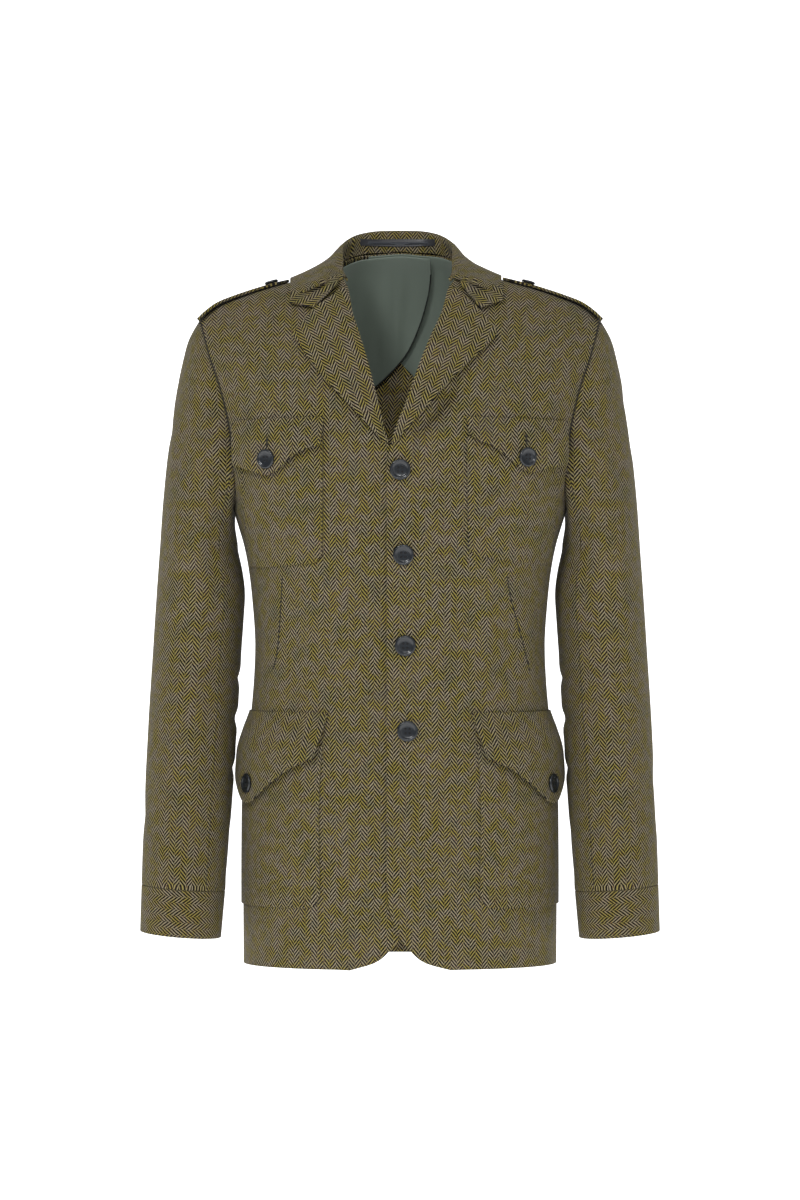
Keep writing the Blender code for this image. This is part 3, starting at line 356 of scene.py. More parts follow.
def unit(vector):
    return vector / norm(vector)


def lengths_along(points):
    """How far along a polyline each of its points lies."""
    steps = norm(np.diff(points, axis=0), axis=1)
    return np.concatenate(([0.0], np.cumsum(steps)))


def shoulder_height(x, behind):
    x = abs(x)
    if x >= NECK_X:
        return read(SHOULDER, 1, x)
    if behind:
        return read(BACK_NECK, 1, x)
    share = ease((x - NECK_BLEND_X) / (NECK_X - NECK_BLEND_X))
    return FRONT_NECK_HEIGHT + (SHOULDER[0][1] - FRONT_NECK_HEIGHT) * share


def level_at(x, height, behind=False):
    """Share of the way from chest to shoulder seam, 0 to 1, of a place on the upper body."""
    share = (height - CHEST) / (shoulder_height(x, behind) - CHEST)
    share = min(1.0, max(0.0, share))
    return math.degrees(math.asin(share ** (RISE_POWER / 2))) / 90.0


ARMHOLE_LEVELS = [level_at(x, height) for height, x in ARMHOLE[:-1]] + [1.0]


def ring_height(level):
    """The height by which the ring of a level above the chest is called."""
    return CHEST + LEVEL_SPAN * level


def half_width(h):
    """Half width of the whole ring at height h; above the chest h is a ring_height."""
    if h <= CHEST:
        return read(RINGS, 1, h)
    level = (h - CHEST) / LEVEL_SPAN
    return smooth(ARMHOLE_LEVELS, column(ARMHOLE, 1), level) / ARMHOLE_SHARE


def skin_at(x, h, behind):
    """The cloth's outer face where the ring at h is x from the middle."""
    width = half_width(h)
    share = min(1.0, abs(x) / width)
    depth = read(RINGS, 3 if behind else 2, min(h, CHEST))
    y = depth * (1.0 - share ** RING_POWER) ** (1.0 / RING_POWER)
    z = h
    if h > CHEST:
        turn = math.radians(90.0 * min(1.0, (h - CHEST) / LEVEL_SPAN))
        y *= max(0.0, math.cos(turn)) ** (2.0 / RISE_POWER)
        z = CHEST + (shoulder_height(x, behind) - CHEST) * math.sin(turn) ** (2.0 / RISE_POWER)
    return np.array((x, y if behind else -y, z))


def angle_at(x, h):
    share = min(1.0, abs(x) / half_width(h))
    return math.copysign(math.degrees(math.asin(share ** (RING_POWER / 2))), x)


def x_at(angle, h):
    turn = math.radians(min(90.0, abs(angle)))
    return math.copysign(half_width(h) * math.sin(turn) ** (2.0 / RING_POWER), angle)


ARMHOLE_ANGLE = math.degrees(math.asin(ARMHOLE_SHARE ** (RING_POWER / 2)))


def panel_rows():
    """Each row as (middle h, side h, side angle)."""
    rows = [(middle, side, 90.0) for middle, side in LOWER_ROWS]
    for middle, turn, side in ARMHOLE_ROWS:
        angle = ARMHOLE_ANGLE
        if turn > 0:
            across, down = cos_sin(turn)
            side = CHEST + (UNDERARM - CHEST) * down
            angle = 90.0 - (90.0 - ARMHOLE_ANGLE) * across
        rows.append((middle, side, angle))
    return rows


def inner_x(side, h):
    """Where a front begins: its edge, then the roll line, then the neckline."""
    if h <= CUTAWAY_TOP:
        drop = min(1.0, (CUTAWAY_TOP - h) / (CUTAWAY_TOP - HEM))
        return -LAP + CUT_WIDTH * (1.0 - math.sqrt(max(0.0, 1.0 - drop * drop)))
    points = []
    for x, height in ROLL_LINE[side]:
        level = height if height <= CHEST else ring_height(level_at(x, height))
        points.append((level, x))
    points.append((ring_height(GORGE_LEVEL), GORGE_X[side]))
    points += [(ring_height(level), x) for level, x in FRONT_NECKLINE]
    return float(np.interp(h, column(points, 0), column(points, 1)))


def resample(points, shares):
    """Points at the given shares of the length of a polyline."""
    points = np.array(points)
    at = lengths_along(points)
    wanted = np.array(shares) * at[-1]
    return np.stack([np.interp(wanted, at, points[:, k]) for k in range(3)], axis=1)


def underlap(x):
    """How far the under front's edge lies behind the other front."""
    return UNDERLAP_DEPTH * ease((UNDERLAP_START - x) / (UNDERLAP_START - UNDERLAP_END))


def front_row(side, middle, end, end_angle, samples=72):
    start = angle_at(inner_x(side, middle), middle)
    points = []
    for k in range(samples + 1):
        t = k / samples
        h = middle + (end - middle) * t ** ROW_POWER
        point = skin_at(x_at(start + (end_angle - start) * t, h), h, False)
        if side == RIGHT:
            point[1] += underlap(point[0]) * ease((UNDERLAP_TOP - point[2]) / UNDERLAP_FADE)
        points.append(point)
    return points


def front_grid(side):
    shares = [k / FRONT_COLUMNS for k in range(FRONT_COLUMNS + 1)]
    rows = []
    for middle, end, angle in panel_rows():
        row = resample(front_row(side, middle, end, angle), shares)
        row[-1, 1] = min(row[-1, 1], -HALF_GAP)
        rows.append(row)
    grid = np.array(rows)
    grid[-1, :, 1] = -HALF_GAP
    grid[:, :, 0] *= side
    return grid


def neck_level(x):
    """How high the back reaches at x, as a level."""
    share = min(1.0, abs(x) / NECK_X)
    return 1.0 - NECK_DROP * (1.0 - share ** NECK_DROP_POWER) ** NECK_DROP_ROUND


def back_row(middle, end, end_angle, samples=90):
    points = []
    for k in range(samples + 1):
        t = k / samples
        h = middle + (end - middle) * t ** ROW_POWER
        x = x_at(end_angle * t, h)
        if h > CHEST:
            h = CHEST + (h - CHEST) * neck_level(x)
        points.append(skin_at(x, h, True))
    return points


def back_grid():
    rows = []
    table = panel_rows()
    first = len(LOWER_ROWS)
    for j, (middle, end, angle) in enumerate(table):
        points = back_row(middle, end, angle)
        top = j == len(table) - 1
        lengths = lengths_along(np.array(points))
        neck = np.interp(NECK_X, column(points, 0), lengths) / lengths[-1]
        even = BACK_NECK_COLUMNS / (BACK_NECK_COLUMNS + BACK_SHOULDER_COLUMNS)
        knee = even + (neck - even) * ease((j - first) / (len(table) - first - 1))
        shares = [knee * k / BACK_NECK_COLUMNS for k in range(BACK_NECK_COLUMNS)]
        shares += [knee + (1 - knee) * k / BACK_SHOULDER_COLUMNS for k in range(BACK_SHOULDER_COLUMNS + 1)]
        half = resample(points, shares)
        if top:
            half[BACK_NECK_COLUMNS:, 1] = HALF_GAP
        half[-1, 1] = max(half[-1, 1], HALF_GAP)
        mirrored = half[:0:-1] * np.array((-1.0, 1.0, 1.0))
        rows.append(np.concatenate((mirrored, half)))
    return np.array(rows)


def units(normals):
    """A grid of normals, each of length one."""
    return normals / (norm(normals, axis=2, keepdims=True) + NEARLY_ZERO)


def grid_normals(grid, outward):
    """Unit normals of a grid of points, turned so that they agree with outward(point)."""
    along = np.gradient(grid, axis=1)
    up = np.gradient(grid, axis=0)
    normal = units(np.cross(along, up))
    flip = np.einsum("jik,jik->ji", normal, outward(grid)) < 0
    normal[flip] *= -1
    return normal


def away_from_axis(grid):
    """Outward of the body: away from an upright line through its middle, and up near the shoulders."""
    out = grid * np.array((1.0, 1.0, 0.0))
    out[:, :, 2] = np.maximum(grid[:, :, 2] - SHOULDERS_FROM, 0.0)
    return out


class Panel:
    """A grid of points on the outer face of a piece, with normals and a wall behind it."""

    def __init__(self, outer, normals, wall=WALL, inner=None):
        self.outer = outer
        self.normals = normals
        self.inner = outer - normals * wall if inner is None else inner

    def triangles(self):
        rows, cols = self.outer.shape[:2]
        for j in range(rows - 1):
            for i in range(cols - 1):
                a, b, c, d = (j, i), (j, i + 1), (j + 1, i + 1), (j + 1, i)
                yield a, b, c
                yield a, c, d


def counterclockwise(points, loop):
    """The loop of flat points, turned round if it runs clockwise."""
    area = 0.0
    for a, b in zip(loop, loop[1:] + loop[:1]):
        area += points[a].x * points[b].y - points[b].x * points[a].y
    return loop if area > 0 else loop[::-1]


def cut_patch(panel, outline, flat, rows=None):
    """The part of a panel inside an outline, which is drawn in the panel's flat coordinates.

    Gives the flat points, triangles, and for each point its place, normal and cloth on the panel.
    """
    outline = [tuple(p) for p in outline]
    low = np.min(outline, axis=0) - 1.0
    high = np.max(outline, axis=0) + 1.0
    points = [Vector(p) for p in outline]
    faces = [counterclockwise(points, list(range(len(outline))))]
    index = {}
    kept = []
    for triangle in panel.triangles():
        if rows is not None and not rows[0] <= triangle[0][0] < rows[1]:
            continue
        corners = np.array([flat[k] for k in triangle])
        if (corners.max(axis=0) < low).any() or (corners.min(axis=0) > high).any():
            continue
        for key in triangle:
            if key not in index:
                index[key] = len(points)
                points.append(Vector(flat[key]))
        faces.append(counterclockwise(points, [index[key] for key in triangle]))
        kept.append(triangle)
    found = delaunay_2d_cdt(points, [], faces, 0, 1e-4, True)
    spots, triangles, sources = found[0], found[2], found[5]
    place = {}
    chosen = []
    for triangle, source in zip(triangles, sources):
        cells = [k for k in source if k > 0]
        if 0 not in source or not cells:
            continue
        chosen.append(list(triangle))
        for spot in triangle:
            place.setdefault(spot, kept[cells[0] - 1])
    order = {spot: k for k, spot in enumerate(sorted(place))}
    where = np.array([tuple(spots[spot]) for spot in sorted(place)])
    on, normal, cloth = [], [], []
    for spot in sorted(place):
        keys = place[spot]
        weights = barycentric(np.array(spots[spot]), *(np.array(flat[k]) for k in keys))
        on.append(sum(w * panel.outer[k] for w, k in zip(weights, keys)))
        normal.append(unit(sum(w * panel.normals[k] for w, k in zip(weights, keys))))
        cloth.append(sum(w * panel.cloth[k] for w, k in zip(weights, keys)))
    faces = [[order[s] for s in t] for t in chosen]
    return where, faces, np.array(on), np.array(normal), np.array(cloth)


def barycentric(p, a, b, c):
    ab, ac, ap = b - a, c - a, p - a
    area = ab[0] * ac[1] - ab[1] * ac[0]
    v = (ap[0] * ac[1] - ap[1] * ac[0]) / area
    w = (ab[0] * ap[1] - ab[1] * ap[0]) / area
    return 1.0 - v - w, v, w


def front_view(grid):
    return grid[:, :, (0, 2)]


# Share of each edge that is cut off beside a corner, and how many times
CUT = 0.25
CUTS = 2


def rounded(outline):
    """Each corner of an open run of points eased by cutting it, with the ends kept."""
    points = [np.array(p, dtype=float) for p in outline]
    for _ in range(CUTS):
        eased = [points[0]]
        for a, b in zip(points, points[1:]):
            eased += [a * (1 - CUT) + b * CUT, a * CUT + b * (1 - CUT)]
        points = eased + [points[-1]]
    return [tuple(p) for p in points]


def seam_direction(side, around, body_normal, sleeve_normal, into_sleeve):
    """Where the inside of an armhole seam lies from its outside, so that both walls meet face to face."""
    into_body = unit(np.cross(around, body_normal))
    if np.dot(into_body, (-side, 0.0, -1.0)) < 0:
        into_body = -into_body
    facing = body_normal + sleeve_normal
    total = facing + SEAM_PULL * (into_body + unit(into_sleeve))
    return -unit(total) * min(MITRE_LIMIT, 2.0 / norm(facing))


def armhole_loop(front, back, side, first):
    """Points round one armhole with the body's normals there: from underarm up the front, and back down."""
    front_points = [(front.outer[j, -1], front.normals[j, -1]) for j in range(first, front.outer.shape[0])]
    edge = -1 if side == LEFT else 0
    back_points = [(back.outer[j, edge], back.normals[j, edge]) for j in range(first, back.outer.shape[0])]
    loop = front_points + back_points[-2:0:-1]
    points = np.array([p for p, _ in loop])
    normals = np.array([n for _, n in loop])
    points[0, 1] = 0.0
    points[len(front_points) - 1, 1] = 0.0
    return points, normals, len(front_points) - 1


def sleeve_section(height):
    heights = column(SLEEVE, 0)[::-1]
    return [smooth(heights, column(SLEEVE, k)[::-1], height) for k in range(1, 5)]


def sleeve_ring(side, height, turns):
    """One ring of a sleeve; a turn of 0 is outward, 90 forward, 180 inward."""
    inner, outer, middle_y, half_depth = sleeve_section(height)
    middle, half = (inner + outer) / 2, (outer - inner) / 2
    tilt = CUFF_TILT * ease((SLEEVE[0][0] - height) / (SLEEVE[0][0] - SLEEVE[-1][0]))
    ring = []
    for turn in turns:
        across, forward = cos_sin(turn)
        x = middle + half * across
        ring.append((side * x, middle_y - half_depth * forward, height + tilt * across))
    return np.array(ring)


def sleeve_turns(points, top):
    """The turn of each armhole point, from its share of the way from underarm to shoulder."""
    at = lengths_along(np.concatenate((points, points[:1])))
    turns = []
    for k in range(len(points)):
        if k <= top:
            turns.append(180.0 * (1.0 - at[k] / at[top]))
        else:
            turns.append(-180.0 * (at[k] - at[top]) / (at[-1] - at[top]))
    return turns


def sleeve_start(side, turn):
    """The direction in which the sleeve leaves the armhole."""
    across, ahead = cos_sin(turn)
    over = (1 + across) / 2
    down = LEAVE_DOWN[0] + LEAVE_DOWN[1] * (1 - over)
    return unit(np.array((side * (LEAVE_OUT[0] + LEAVE_OUT[1] * over), -LEAVE_FORWARD * ahead, -down)))


def cap_point(start, end, leave, over, t):
    """A point of the sleeve cap, on a curve from the armhole to the first full ring."""
    length = norm(end - start)
    near = start + leave * (CAP_HANDLE[0] + (CAP_HANDLE[1] - CAP_HANDLE[0]) * over)
    rise = length * (CAP_LIFT_SHARE[0] + (CAP_LIFT_SHARE[1] - CAP_LIFT_SHARE[0]) * over)
    far = end + np.array((-CAP_LEAN * math.copysign(1.0, start[0]) * over, 0.0, 1.0)) * rise
    return start * (1 - t) ** 3 + 3 * near * t * (1 - t) ** 2 + 3 * far * t * t * (1 - t) + end * t ** 3


def sleeve_grid(side, points, top):
    turns = sleeve_turns(points, top)
    first = sleeve_ring(side, SLEEVE[0][0], turns)
    rows = []
    for step in range(CAP_ROWS + 1):
        row = []
        for start, end, turn in zip(points, first, turns):
            over = (1 + cos_sin(turn)[0]) / 2
            row.append(cap_point(start, end, sleeve_start(side, turn), over, step / CAP_ROWS))
        rows.append(row)
    rows += [sleeve_ring(side, height, turns) for height in SLEEVE_ROWS]
    return np.array(rows), turns


def tube_normals(grid, side):
    """Normals of a grid that closes on itself along its rows, pointing away from the tube's middle."""
    along = np.roll(grid, -1, axis=1) - np.roll(grid, 1, axis=1)
    up = np.gradient(grid, axis=0)
    normal = units(np.cross(along, up))
    middle = grid.mean(axis=1, keepdims=True)
    near = np.abs(middle[:CAP_CLAMPED, :, 0])
    middle[:CAP_CLAMPED, :, 0] = np.minimum(near, CAP_WIDEST) * side
    outward = np.einsum("jik,jik->ji", normal, grid - middle)
    if outward[-1].mean() < 0:
        normal *= -1
    return normal


def neckline_point(along, side):
    """A point of the neckline: 0 at centre back, 1 at the shoulder seam, 2 at the gorge."""
    if along <= 1.0:
        x = NECK_X * along
        return skin_at(x, ring_height(neck_level(x)), True)
    h = ring_height(1.0 - (1.0 - GORGE_LEVEL) * (along - 1.0))
    return skin_at(inner_x(side, h), h, False)


def skin_height(x, y):
    """Height of the body's outer face under a place near the shoulders."""
    behind = y > 0
    low, high = 0.0, 1.0
    for _ in range(24):
        level = (low + high) / 2
        point = skin_at(abs(x), ring_height(level), behind)
        if abs(point[1]) > abs(y):
            low = level
        else:
            high = level
    return point[2]


def collar_section(along, side):
    """One section of the collar, from the foot of the stand over the fold to the leaf's edge."""
    fold_x, fold_y, fold_z, edge_x, edge_y = (read(COLLAR, k, along) for k in range(1, 6))
    wide = 1.0 - WIDER_RIGHT * side
    neck = neckline_point(along, side)
    fold = np.array((fold_x * wide, fold_y, fold_z))
    edge = np.array((edge_x * wide, edge_y, 0.0))
    up = unit(fold - neck)
    out = unit((edge - fold) * np.array((1.0, 1.0, 0.0)))
    across = unit(out - up * np.dot(out, up))
    foot = neck + up * STAND_LIFT
    crown = fold + up * FOLD / 2 + across * FOLD / 2
    turned = fold + across * FOLD
    points = [foot, (foot + fold) / 2 - across * STAND_BOW, fold, crown, turned]
    end = ease((along - LEAF_END) / (COLLAR_LENGTH - LEAF_END))
    notch = np.array((NOTCH[0] * wide, NOTCH[1], 0.0))
    for share in LEAF_SHARES:
        place = turned * (1 - share) + edge * share
        if share <= NOTCH_SHARE:
            bent = turned + (notch - turned) * share / NOTCH_SHARE
        else:
            bent = notch + (edge - notch) * (share - NOTCH_SHARE) / (1 - NOTCH_SHARE)
        place = place * (1 - end) + bent * end
        clear = LEAF_CLEARANCE + LEAF_BULGE * (1 - share)
        ground = skin_height(place[0], place[1]) + clear
        straight = turned[2] * (1 - share) + (skin_height(edge[0], edge[1]) + LEAF_CLEARANCE) * share
        place[2] = max(ground, straight)
        points.append(place)
    points = np.array(points)
    points[:, 0] *= side
    return points


def collar_panel():
    stations = [COLLAR_LENGTH * k / COLLAR_STATIONS for k in range(COLLAR_STATIONS + 1)]
    left = [collar_section(along, LEFT) for along in stations]
    right = [collar_section(along, RIGHT) for along in stations[:0:-1]]
    middle = np.array(right + left).transpose(1, 0, 2)
    normal = units(np.cross(np.gradient(middle, axis=0), np.gradient(middle, axis=1)))
    if normal[0, len(right), 1] > 0:
        normal *= -1
    return Panel(middle + normal * WALL / 2, normal, WALL)


def distance_to_roll(side, spot):
    """Distance of a front-view place from the roll line of one side."""
    a = np.array(ROLL_LINE[side][1])
    b = np.array(ROLL_LINE[side][2])
    along = unit(b - a)
    away = np.array((spot[0] * side, spot[1])) - a
    return abs(along[0] * away[1] - along[1] * away[0])


def lapel_lift(side):
    def lift(spot):
        away = distance_to_roll(side, spot)
        roll = 1.0 - min(1.0, away / LAPEL_ROLL_REACH)
        lower = ease((LAPEL_STAND_TOP - spot[1]) / LAPEL_STAND_FADE) * ease(away / LAPEL_STAND_REACH)
        lower *= ease((spot[1] - LAPEL_STAND_LOW) / BREAK_FADE)
        rolled = LAPEL_ROLL * math.sqrt(1.0 - roll * roll) * ease((spot[1] - BREAK) / BREAK_FADE)
        return GAP + rolled + LAPEL_STAND[side] * lower
    return lift


def mirrored(outline, side):
    return [(side * x, z) for x, z in outline]


def side_panel(front, back, side):
    """The lower body round one side as one panel, from the centre front to the centre back."""
    rows = int(np.searchsorted(front.outer[:, 0, 2], SIDE_PANEL_TOP))
    middle = back.outer.shape[1] // 2
    if side == LEFT:
        behind, behind_normals = back.outer[:rows, :middle:-1], back.normals[:rows, :middle:-1]
    else:
        behind, behind_normals = back.outer[:rows, :middle], back.normals[:rows, :middle]
    outer = np.concatenate((front.outer[:rows], behind[:, 1:]), axis=1)
    normals = np.concatenate((front.normals[:rows], behind_normals[:, 1:]), axis=1)
    seam_column = front.outer.shape[1] - 1
    outer[:, seam_column, 1] = 0.0
    seam = front.normals[:rows, -1] + behind_normals[:, 0]
    normals[:, seam_column] = seam / norm(seam, axis=1, keepdims=True)
    flat = np.zeros(outer.shape[:2] + (2,))
    steps = norm(np.diff(outer, axis=1), axis=2)
    at = np.concatenate((np.zeros((rows, 1)), np.cumsum(steps, axis=1)), axis=1)
    flat[:, :, 0] = at[:, seam_column:seam_column + 1] - at
    flat[:, :, 1] = outer[:, :, 2]
    around = Panel(outer, normals)
    around.cloth = flat
    return around, flat


def both_ways(half):
    """A hip outline from its half, which runs from the top in front to the middle."""
    ahead = [(HIP_MIDDLE + away, z) for away, z in half]
    return ahead + [(HIP_MIDDLE - away, z) for away, z in half[::-1] if away > 0]


def strap_panel(side):
    """A shoulder strap along the shoulder seam, flat across and clear of the cloth below."""
    xs = column(STRAP, 0)
    rows = []
    for k in range(STRAP_STATIONS + 1):
        share = k / STRAP_STATIONS
        drawn = xs[0] + (xs[-1] - xs[0]) * share ** STRAP_SPACING
        half = read(STRAP, 1, drawn)
        x = STRAP_TIP[side] + (xs[-1] - STRAP_TIP[side]) * share ** STRAP_SPACING
        base = shoulder_height(x, False) + STRAP_LIFT
        drop = STRAP_DROP * half / STRAP_HALF
        rows.append([(side * x, half * a, base - drop * abs(a)) for a in STRAP_ACROSS])
    bottom = np.array(rows)
    normals = grid_normals(bottom, lambda grid: grid * 0 + np.array((0.0, 0.0, 1.0)))
    top = bottom + normals * STRAP_WALL
    return Panel(top, normals, STRAP_WALL, bottom)


def disc(centre, radius, sides=12):
    turns = [2 * math.pi * k / sides for k in range(sides)]
    return [(centre[0] + radius * math.cos(a), centre[1] + radius * math.sin(a)) for a in turns]


def button_seat(panel, flat, spot, radius, lift):
    """The place and direction of a button on what lies at lift over a panel."""
    _, _, on, normal, _ = cut_patch(panel, disc(spot, radius), flat)
    carried = on + normal * lift
    axis = unit(normal.mean(axis=0))
    centre = carried.mean(axis=0)
    rise = ((carried - centre) @ axis).max() + GAP
    return centre + axis * rise, axis


def clamp_side_seams(fronts, back, first):
    """Keeps each wall on its own side of the side seams and the shoulder seams."""
    for side in (LEFT, RIGHT):
        fronts[side].inner[:first + 1, -1, 1] = -HALF_GAP
        fronts[side].inner[-1, :, 1] = -HALF_GAP
    for edge in (0, -1):
        back.inner[:first + 1, edge, 1] = HALF_GAP
    back.inner[-1, :BACK_SHOULDER_COLUMNS + 1, 1] = HALF_GAP
    back.inner[-1, -BACK_SHOULDER_COLUMNS - 1:, 1] = HALF_GAP


def sleeve_panels(side, front, back, first):
    points, body_normals, top = armhole_loop(front, back, side, first)
    grid, turns = sleeve_grid(side, points, top)
    normals = tube_normals(grid, side)
    inner = grid - normals * WALL
    around = np.roll(points, -1, axis=0) - np.roll(points, 1, axis=0)
    seams = []
    for k in range(len(points)):
        into_sleeve = grid[1, k] - grid[0, k]
        inward = seam_direction(side, around[k], body_normals[k], normals[0, k], into_sleeve)
        aside = unit(np.cross(around[k], inward))
        if np.dot(aside, into_sleeve + np.array((side * ARM_SIDE, 0.0, 0.0))) < 0:
            aside = -aside
        seams.append((inward * WALL, aside * HALF_GAP))
    edge = -1 if side == LEFT else 0
    rows = front.outer.shape[0]
    for k, (inward, aside) in enumerate(seams):
        grid[0, k] = points[k] + aside
        inner[0, k] = points[k] + aside + inward
        if k <= top:
            set_edge(front, first + k, -1, points[k] - aside, inward, -HALF_GAP, k in (0, top))
        if k == 0 or k >= top:
            j = first + (len(points) - k) % len(points) if k else first
            j = min(j, rows - 1)
            set_edge(back, j, edge, points[k] - aside, inward, HALF_GAP, k in (0, top))
    for panel, beside in ((front, -2), (back, -2 if side == LEFT else 1)):
        for layer in (panel.outer, panel.inner):
            layer[first - 1:first + 3, beside, 0] -= side * UNDERARM_TUCK
    sleeve = Panel(grid, normals, WALL, inner)
    cuff = np.array([sleeve_ring(side, height, turns + turns[:1]) for height in CUFF_ROWS])
    cuff[0, :, 2] -= GAP
    across = tube_normals(cuff[:, :-1], side)
    across = np.concatenate((across, across[:, :1]), axis=1)
    return split_sleeve(sleeve) + [Panel(cuff, across)]


def set_edge(panel, j, i, point, inward, seam_y, on_seam):
    panel.outer[j, i] = point
    panel.inner[j, i] = point + inward
    if on_seam:
        panel.outer[j, i, 1] = seam_y
        panel.inner[j, i, 1] = seam_y


def split_sleeve(sleeve):
    """The under sleeve takes the columns either side of the underarm, and the top sleeve the rest."""
    count = sleeve.outer.shape[1]
    reach = UNDER_SLEEVE_REACH
    under = [k % count for k in range(-reach, reach + 1)]
    over = [k % count for k in range(reach, count - reach + 1)]
    halves = []
    for columns in (under, over):
        outer = sleeve.outer[:, columns].copy()
        inner = sleeve.inner[:, columns].copy()
        for end, beside in ((0, 1), (-1, -2)):
            step = outer[:, beside] - outer[:, end]
            step *= HALF_GAP / norm(step, axis=1, keepdims=True)
            outer[:, end] += step
            inner[:, end] += step
        halves.append(Panel(outer, sleeve.normals[:, columns], WALL, inner))
    return halves


# Finer forms, in steps of this many millimetres
STEP = 5.0


def curve_through(at, values, wanted):
    """A smooth curve through rows of values at the given places, read at the wanted ones."""
    slope = np.gradient(values, at, axis=0)
    k = np.clip(np.searchsorted(at, wanted, side="right") - 1, 0, len(at) - 2)
    shape = (-1,) + (1,) * (values.ndim - 1)
    width = np.diff(at)[k].reshape(shape)
    t = (wanted - at[k]).reshape(shape) / width
    rise = values[k] * (1 + 2 * t) * (1 - t) ** 2 + values[k + 1] * t * t * (3 - 2 * t)
    return rise + width * (slope[k] * t * (1 - t) ** 2 - slope[k + 1] * t * t * (1 - t))


def finer_places(grid, axis, step):
    """Places of a grid's lines by their mean spacing, and the same with others added between."""
    gaps = norm(np.diff(grid, axis=axis), axis=2).mean(axis=1 - axis)
    at = np.concatenate(([0.0], np.cumsum(gaps)))
    wanted = [0.0]
    for low, gap in zip(at, gaps):
        count = max(1, math.ceil(gap / step))
        wanted += [low + gap * (k + 1) / count for k in range(count)]
    return at, np.array(wanted)


def finer(panel, step=STEP):
    """The panel with more rows and columns, on the same form."""
    layers = np.concatenate((panel.outer, panel.inner, panel.normals), axis=2)
    rows, more_rows = finer_places(panel.outer, 0, step)
    columns, more_columns = finer_places(panel.outer, 1, step)
    layers = curve_through(rows, layers, more_rows)
    layers = curve_through(columns, layers.transpose(1, 0, 2), more_columns).transpose(1, 0, 2)
    outer, inner, guide = layers[:, :, :3], layers[:, :, 3:6], layers[:, :, 6:]
    normals = grid_normals(outer, lambda grid: guide)
    return Panel(outer, normals, WALL, inner)


def body_cloth(panel):
    """Flat coordinates of a body panel: round the body from the middle, and down the cloth."""
    steps = np.diff(panel.outer, axis=1)[:, :, :2]
    start = panel.outer[:, :1, 0]
    signed = np.sign(steps[:, :, 0].sum()) * norm(steps, axis=2)
    u = np.concatenate((start, start + np.cumsum(signed, axis=1)), axis=1)
    steps = norm(np.diff(panel.outer, axis=0)[:, :, 1:], axis=2)
    low = panel.outer[:1, :, 2]
    v = np.concatenate((low, low + np.cumsum(steps, axis=0)), axis=0)
    panel.cloth = np.stack((u, v), axis=2)


def tube_cloth(panel, turned=False):
    """Flat coordinates of a sleeve or collar: along its rows from their middle, and down its columns."""
    steps = norm(np.diff(panel.outer, axis=1), axis=2)
    u = np.concatenate((np.zeros((len(steps), 1)), np.cumsum(steps, axis=1)), axis=1)
    middle = u.shape[1] // 2
    u = u - u[:, middle:middle + 1]
    steps = norm(np.diff(panel.outer, axis=0), axis=2)
    v = np.concatenate((np.cumsum(steps[::-1], axis=0)[::-1], np.zeros((1, u.shape[1]))), axis=0)
    v = v - v[0, middle]
    panel.cloth = np.stack((v, u) if turned else (u, v), axis=2)


def way_down(panel, axes):
    """For every place, how far down the cloth its height lies, told by the column that ends highest."""
    ends = panel.outer[(0, -1), :, 2]
    line = panel.outer[:, int(np.argmax(ends.max(axis=0)))]
    if line[0, 2] > line[-1, 2]:
        line = line[::-1]
    return np.interp(panel.outer[:, :, 2], line[:, 2], lengths_along(line[:, axes]))


def level_weave(panel, axes=(1, 2)):
    """Keeps the weave of a panel level, whatever way its columns lean."""
    panel.cloth[:, :, 1] = way_down(panel, axes)


# Half width and half depth of the arm at its middle
ARM = (43.0, 58.0)
ARM_STEPS = 90


def sleeve_weave(panel, side, outward):
    """The weave of a sleeve piece: round the arm from its outer or inner side, and level."""
    heights = column(SLEEVE, 0)[::-1]
    z = np.clip(panel.outer[:, :, 2], heights[0], heights[-1])
    found = [np.interp(z, heights, column(SLEEVE, k)[::-1]) for k in range(1, 5)]
    inner, outer, middle_y, half_depth = found
    across = (side * panel.outer[:, :, 0] - (inner + outer) / 2) / (outer - inner) * 2 * outward
    forward = (middle_y - panel.outer[:, :, 1]) / half_depth
    turns = np.linspace(-math.pi, math.pi, 2 * ARM_STEPS + 1)
    speed = np.hypot(ARM[0] * np.sin(turns), ARM[1] * np.cos(turns))
    arc = np.cumsum(speed) * (turns[1] - turns[0])
    panel.cloth[:, :, 0] = np.interp(np.arctan2(forward, across), turns, arc - arc[ARM_STEPS])
    level_weave(panel, (0, 1, 2))


# Creases: how far they bend aside, how often, how much of their length they keep, and their ridges
CREASE_BEND = 0.35
CREASE_TURN = 1.6
CREASE_REACH = 0.36
CREASE_RIDGE = 0.9


def crease_depth(spots, creases):
    """How far the creases raise each flat place: a hollow with a soft ridge along either side."""
    rise = np.zeros(spots.shape[:-1])
    for u1, v1, u2, v2, width, depth in creases:
        a, b = np.array((u1, v1)), np.array((u2, v2))
        length = norm(b - a)
        along = (b - a) / length
        away = spots - a
        t = (away @ along) / length
        bend = width * CREASE_BEND * np.sin(math.pi * np.clip(t, 0.0, 1.0) * CREASE_TURN)
        side = away[..., 0] * along[1] - away[..., 1] * along[0] + bend
        reach = np.exp(-((t - 0.5) / CREASE_REACH) ** 4)
        form = (side / width) ** 2
        rise -= depth * reach * (1.0 - CREASE_RIDGE * form) * np.exp(-form)
    return rise


def fold(panel, creases, reach=4):
    """Folds a panel's wall along creases drawn in its flat coordinates, but not at its edges."""
    rise = crease_depth(panel.cloth, creases) * edge_hold(panel.outer.shape[:2], reach)
    moved = panel.normals * rise[:, :, None]
    panel.outer = panel.outer + moved
    panel.inner = panel.inner + moved
    guide = panel.normals
    panel.normals = grid_normals(panel.outer, lambda grid: guide)


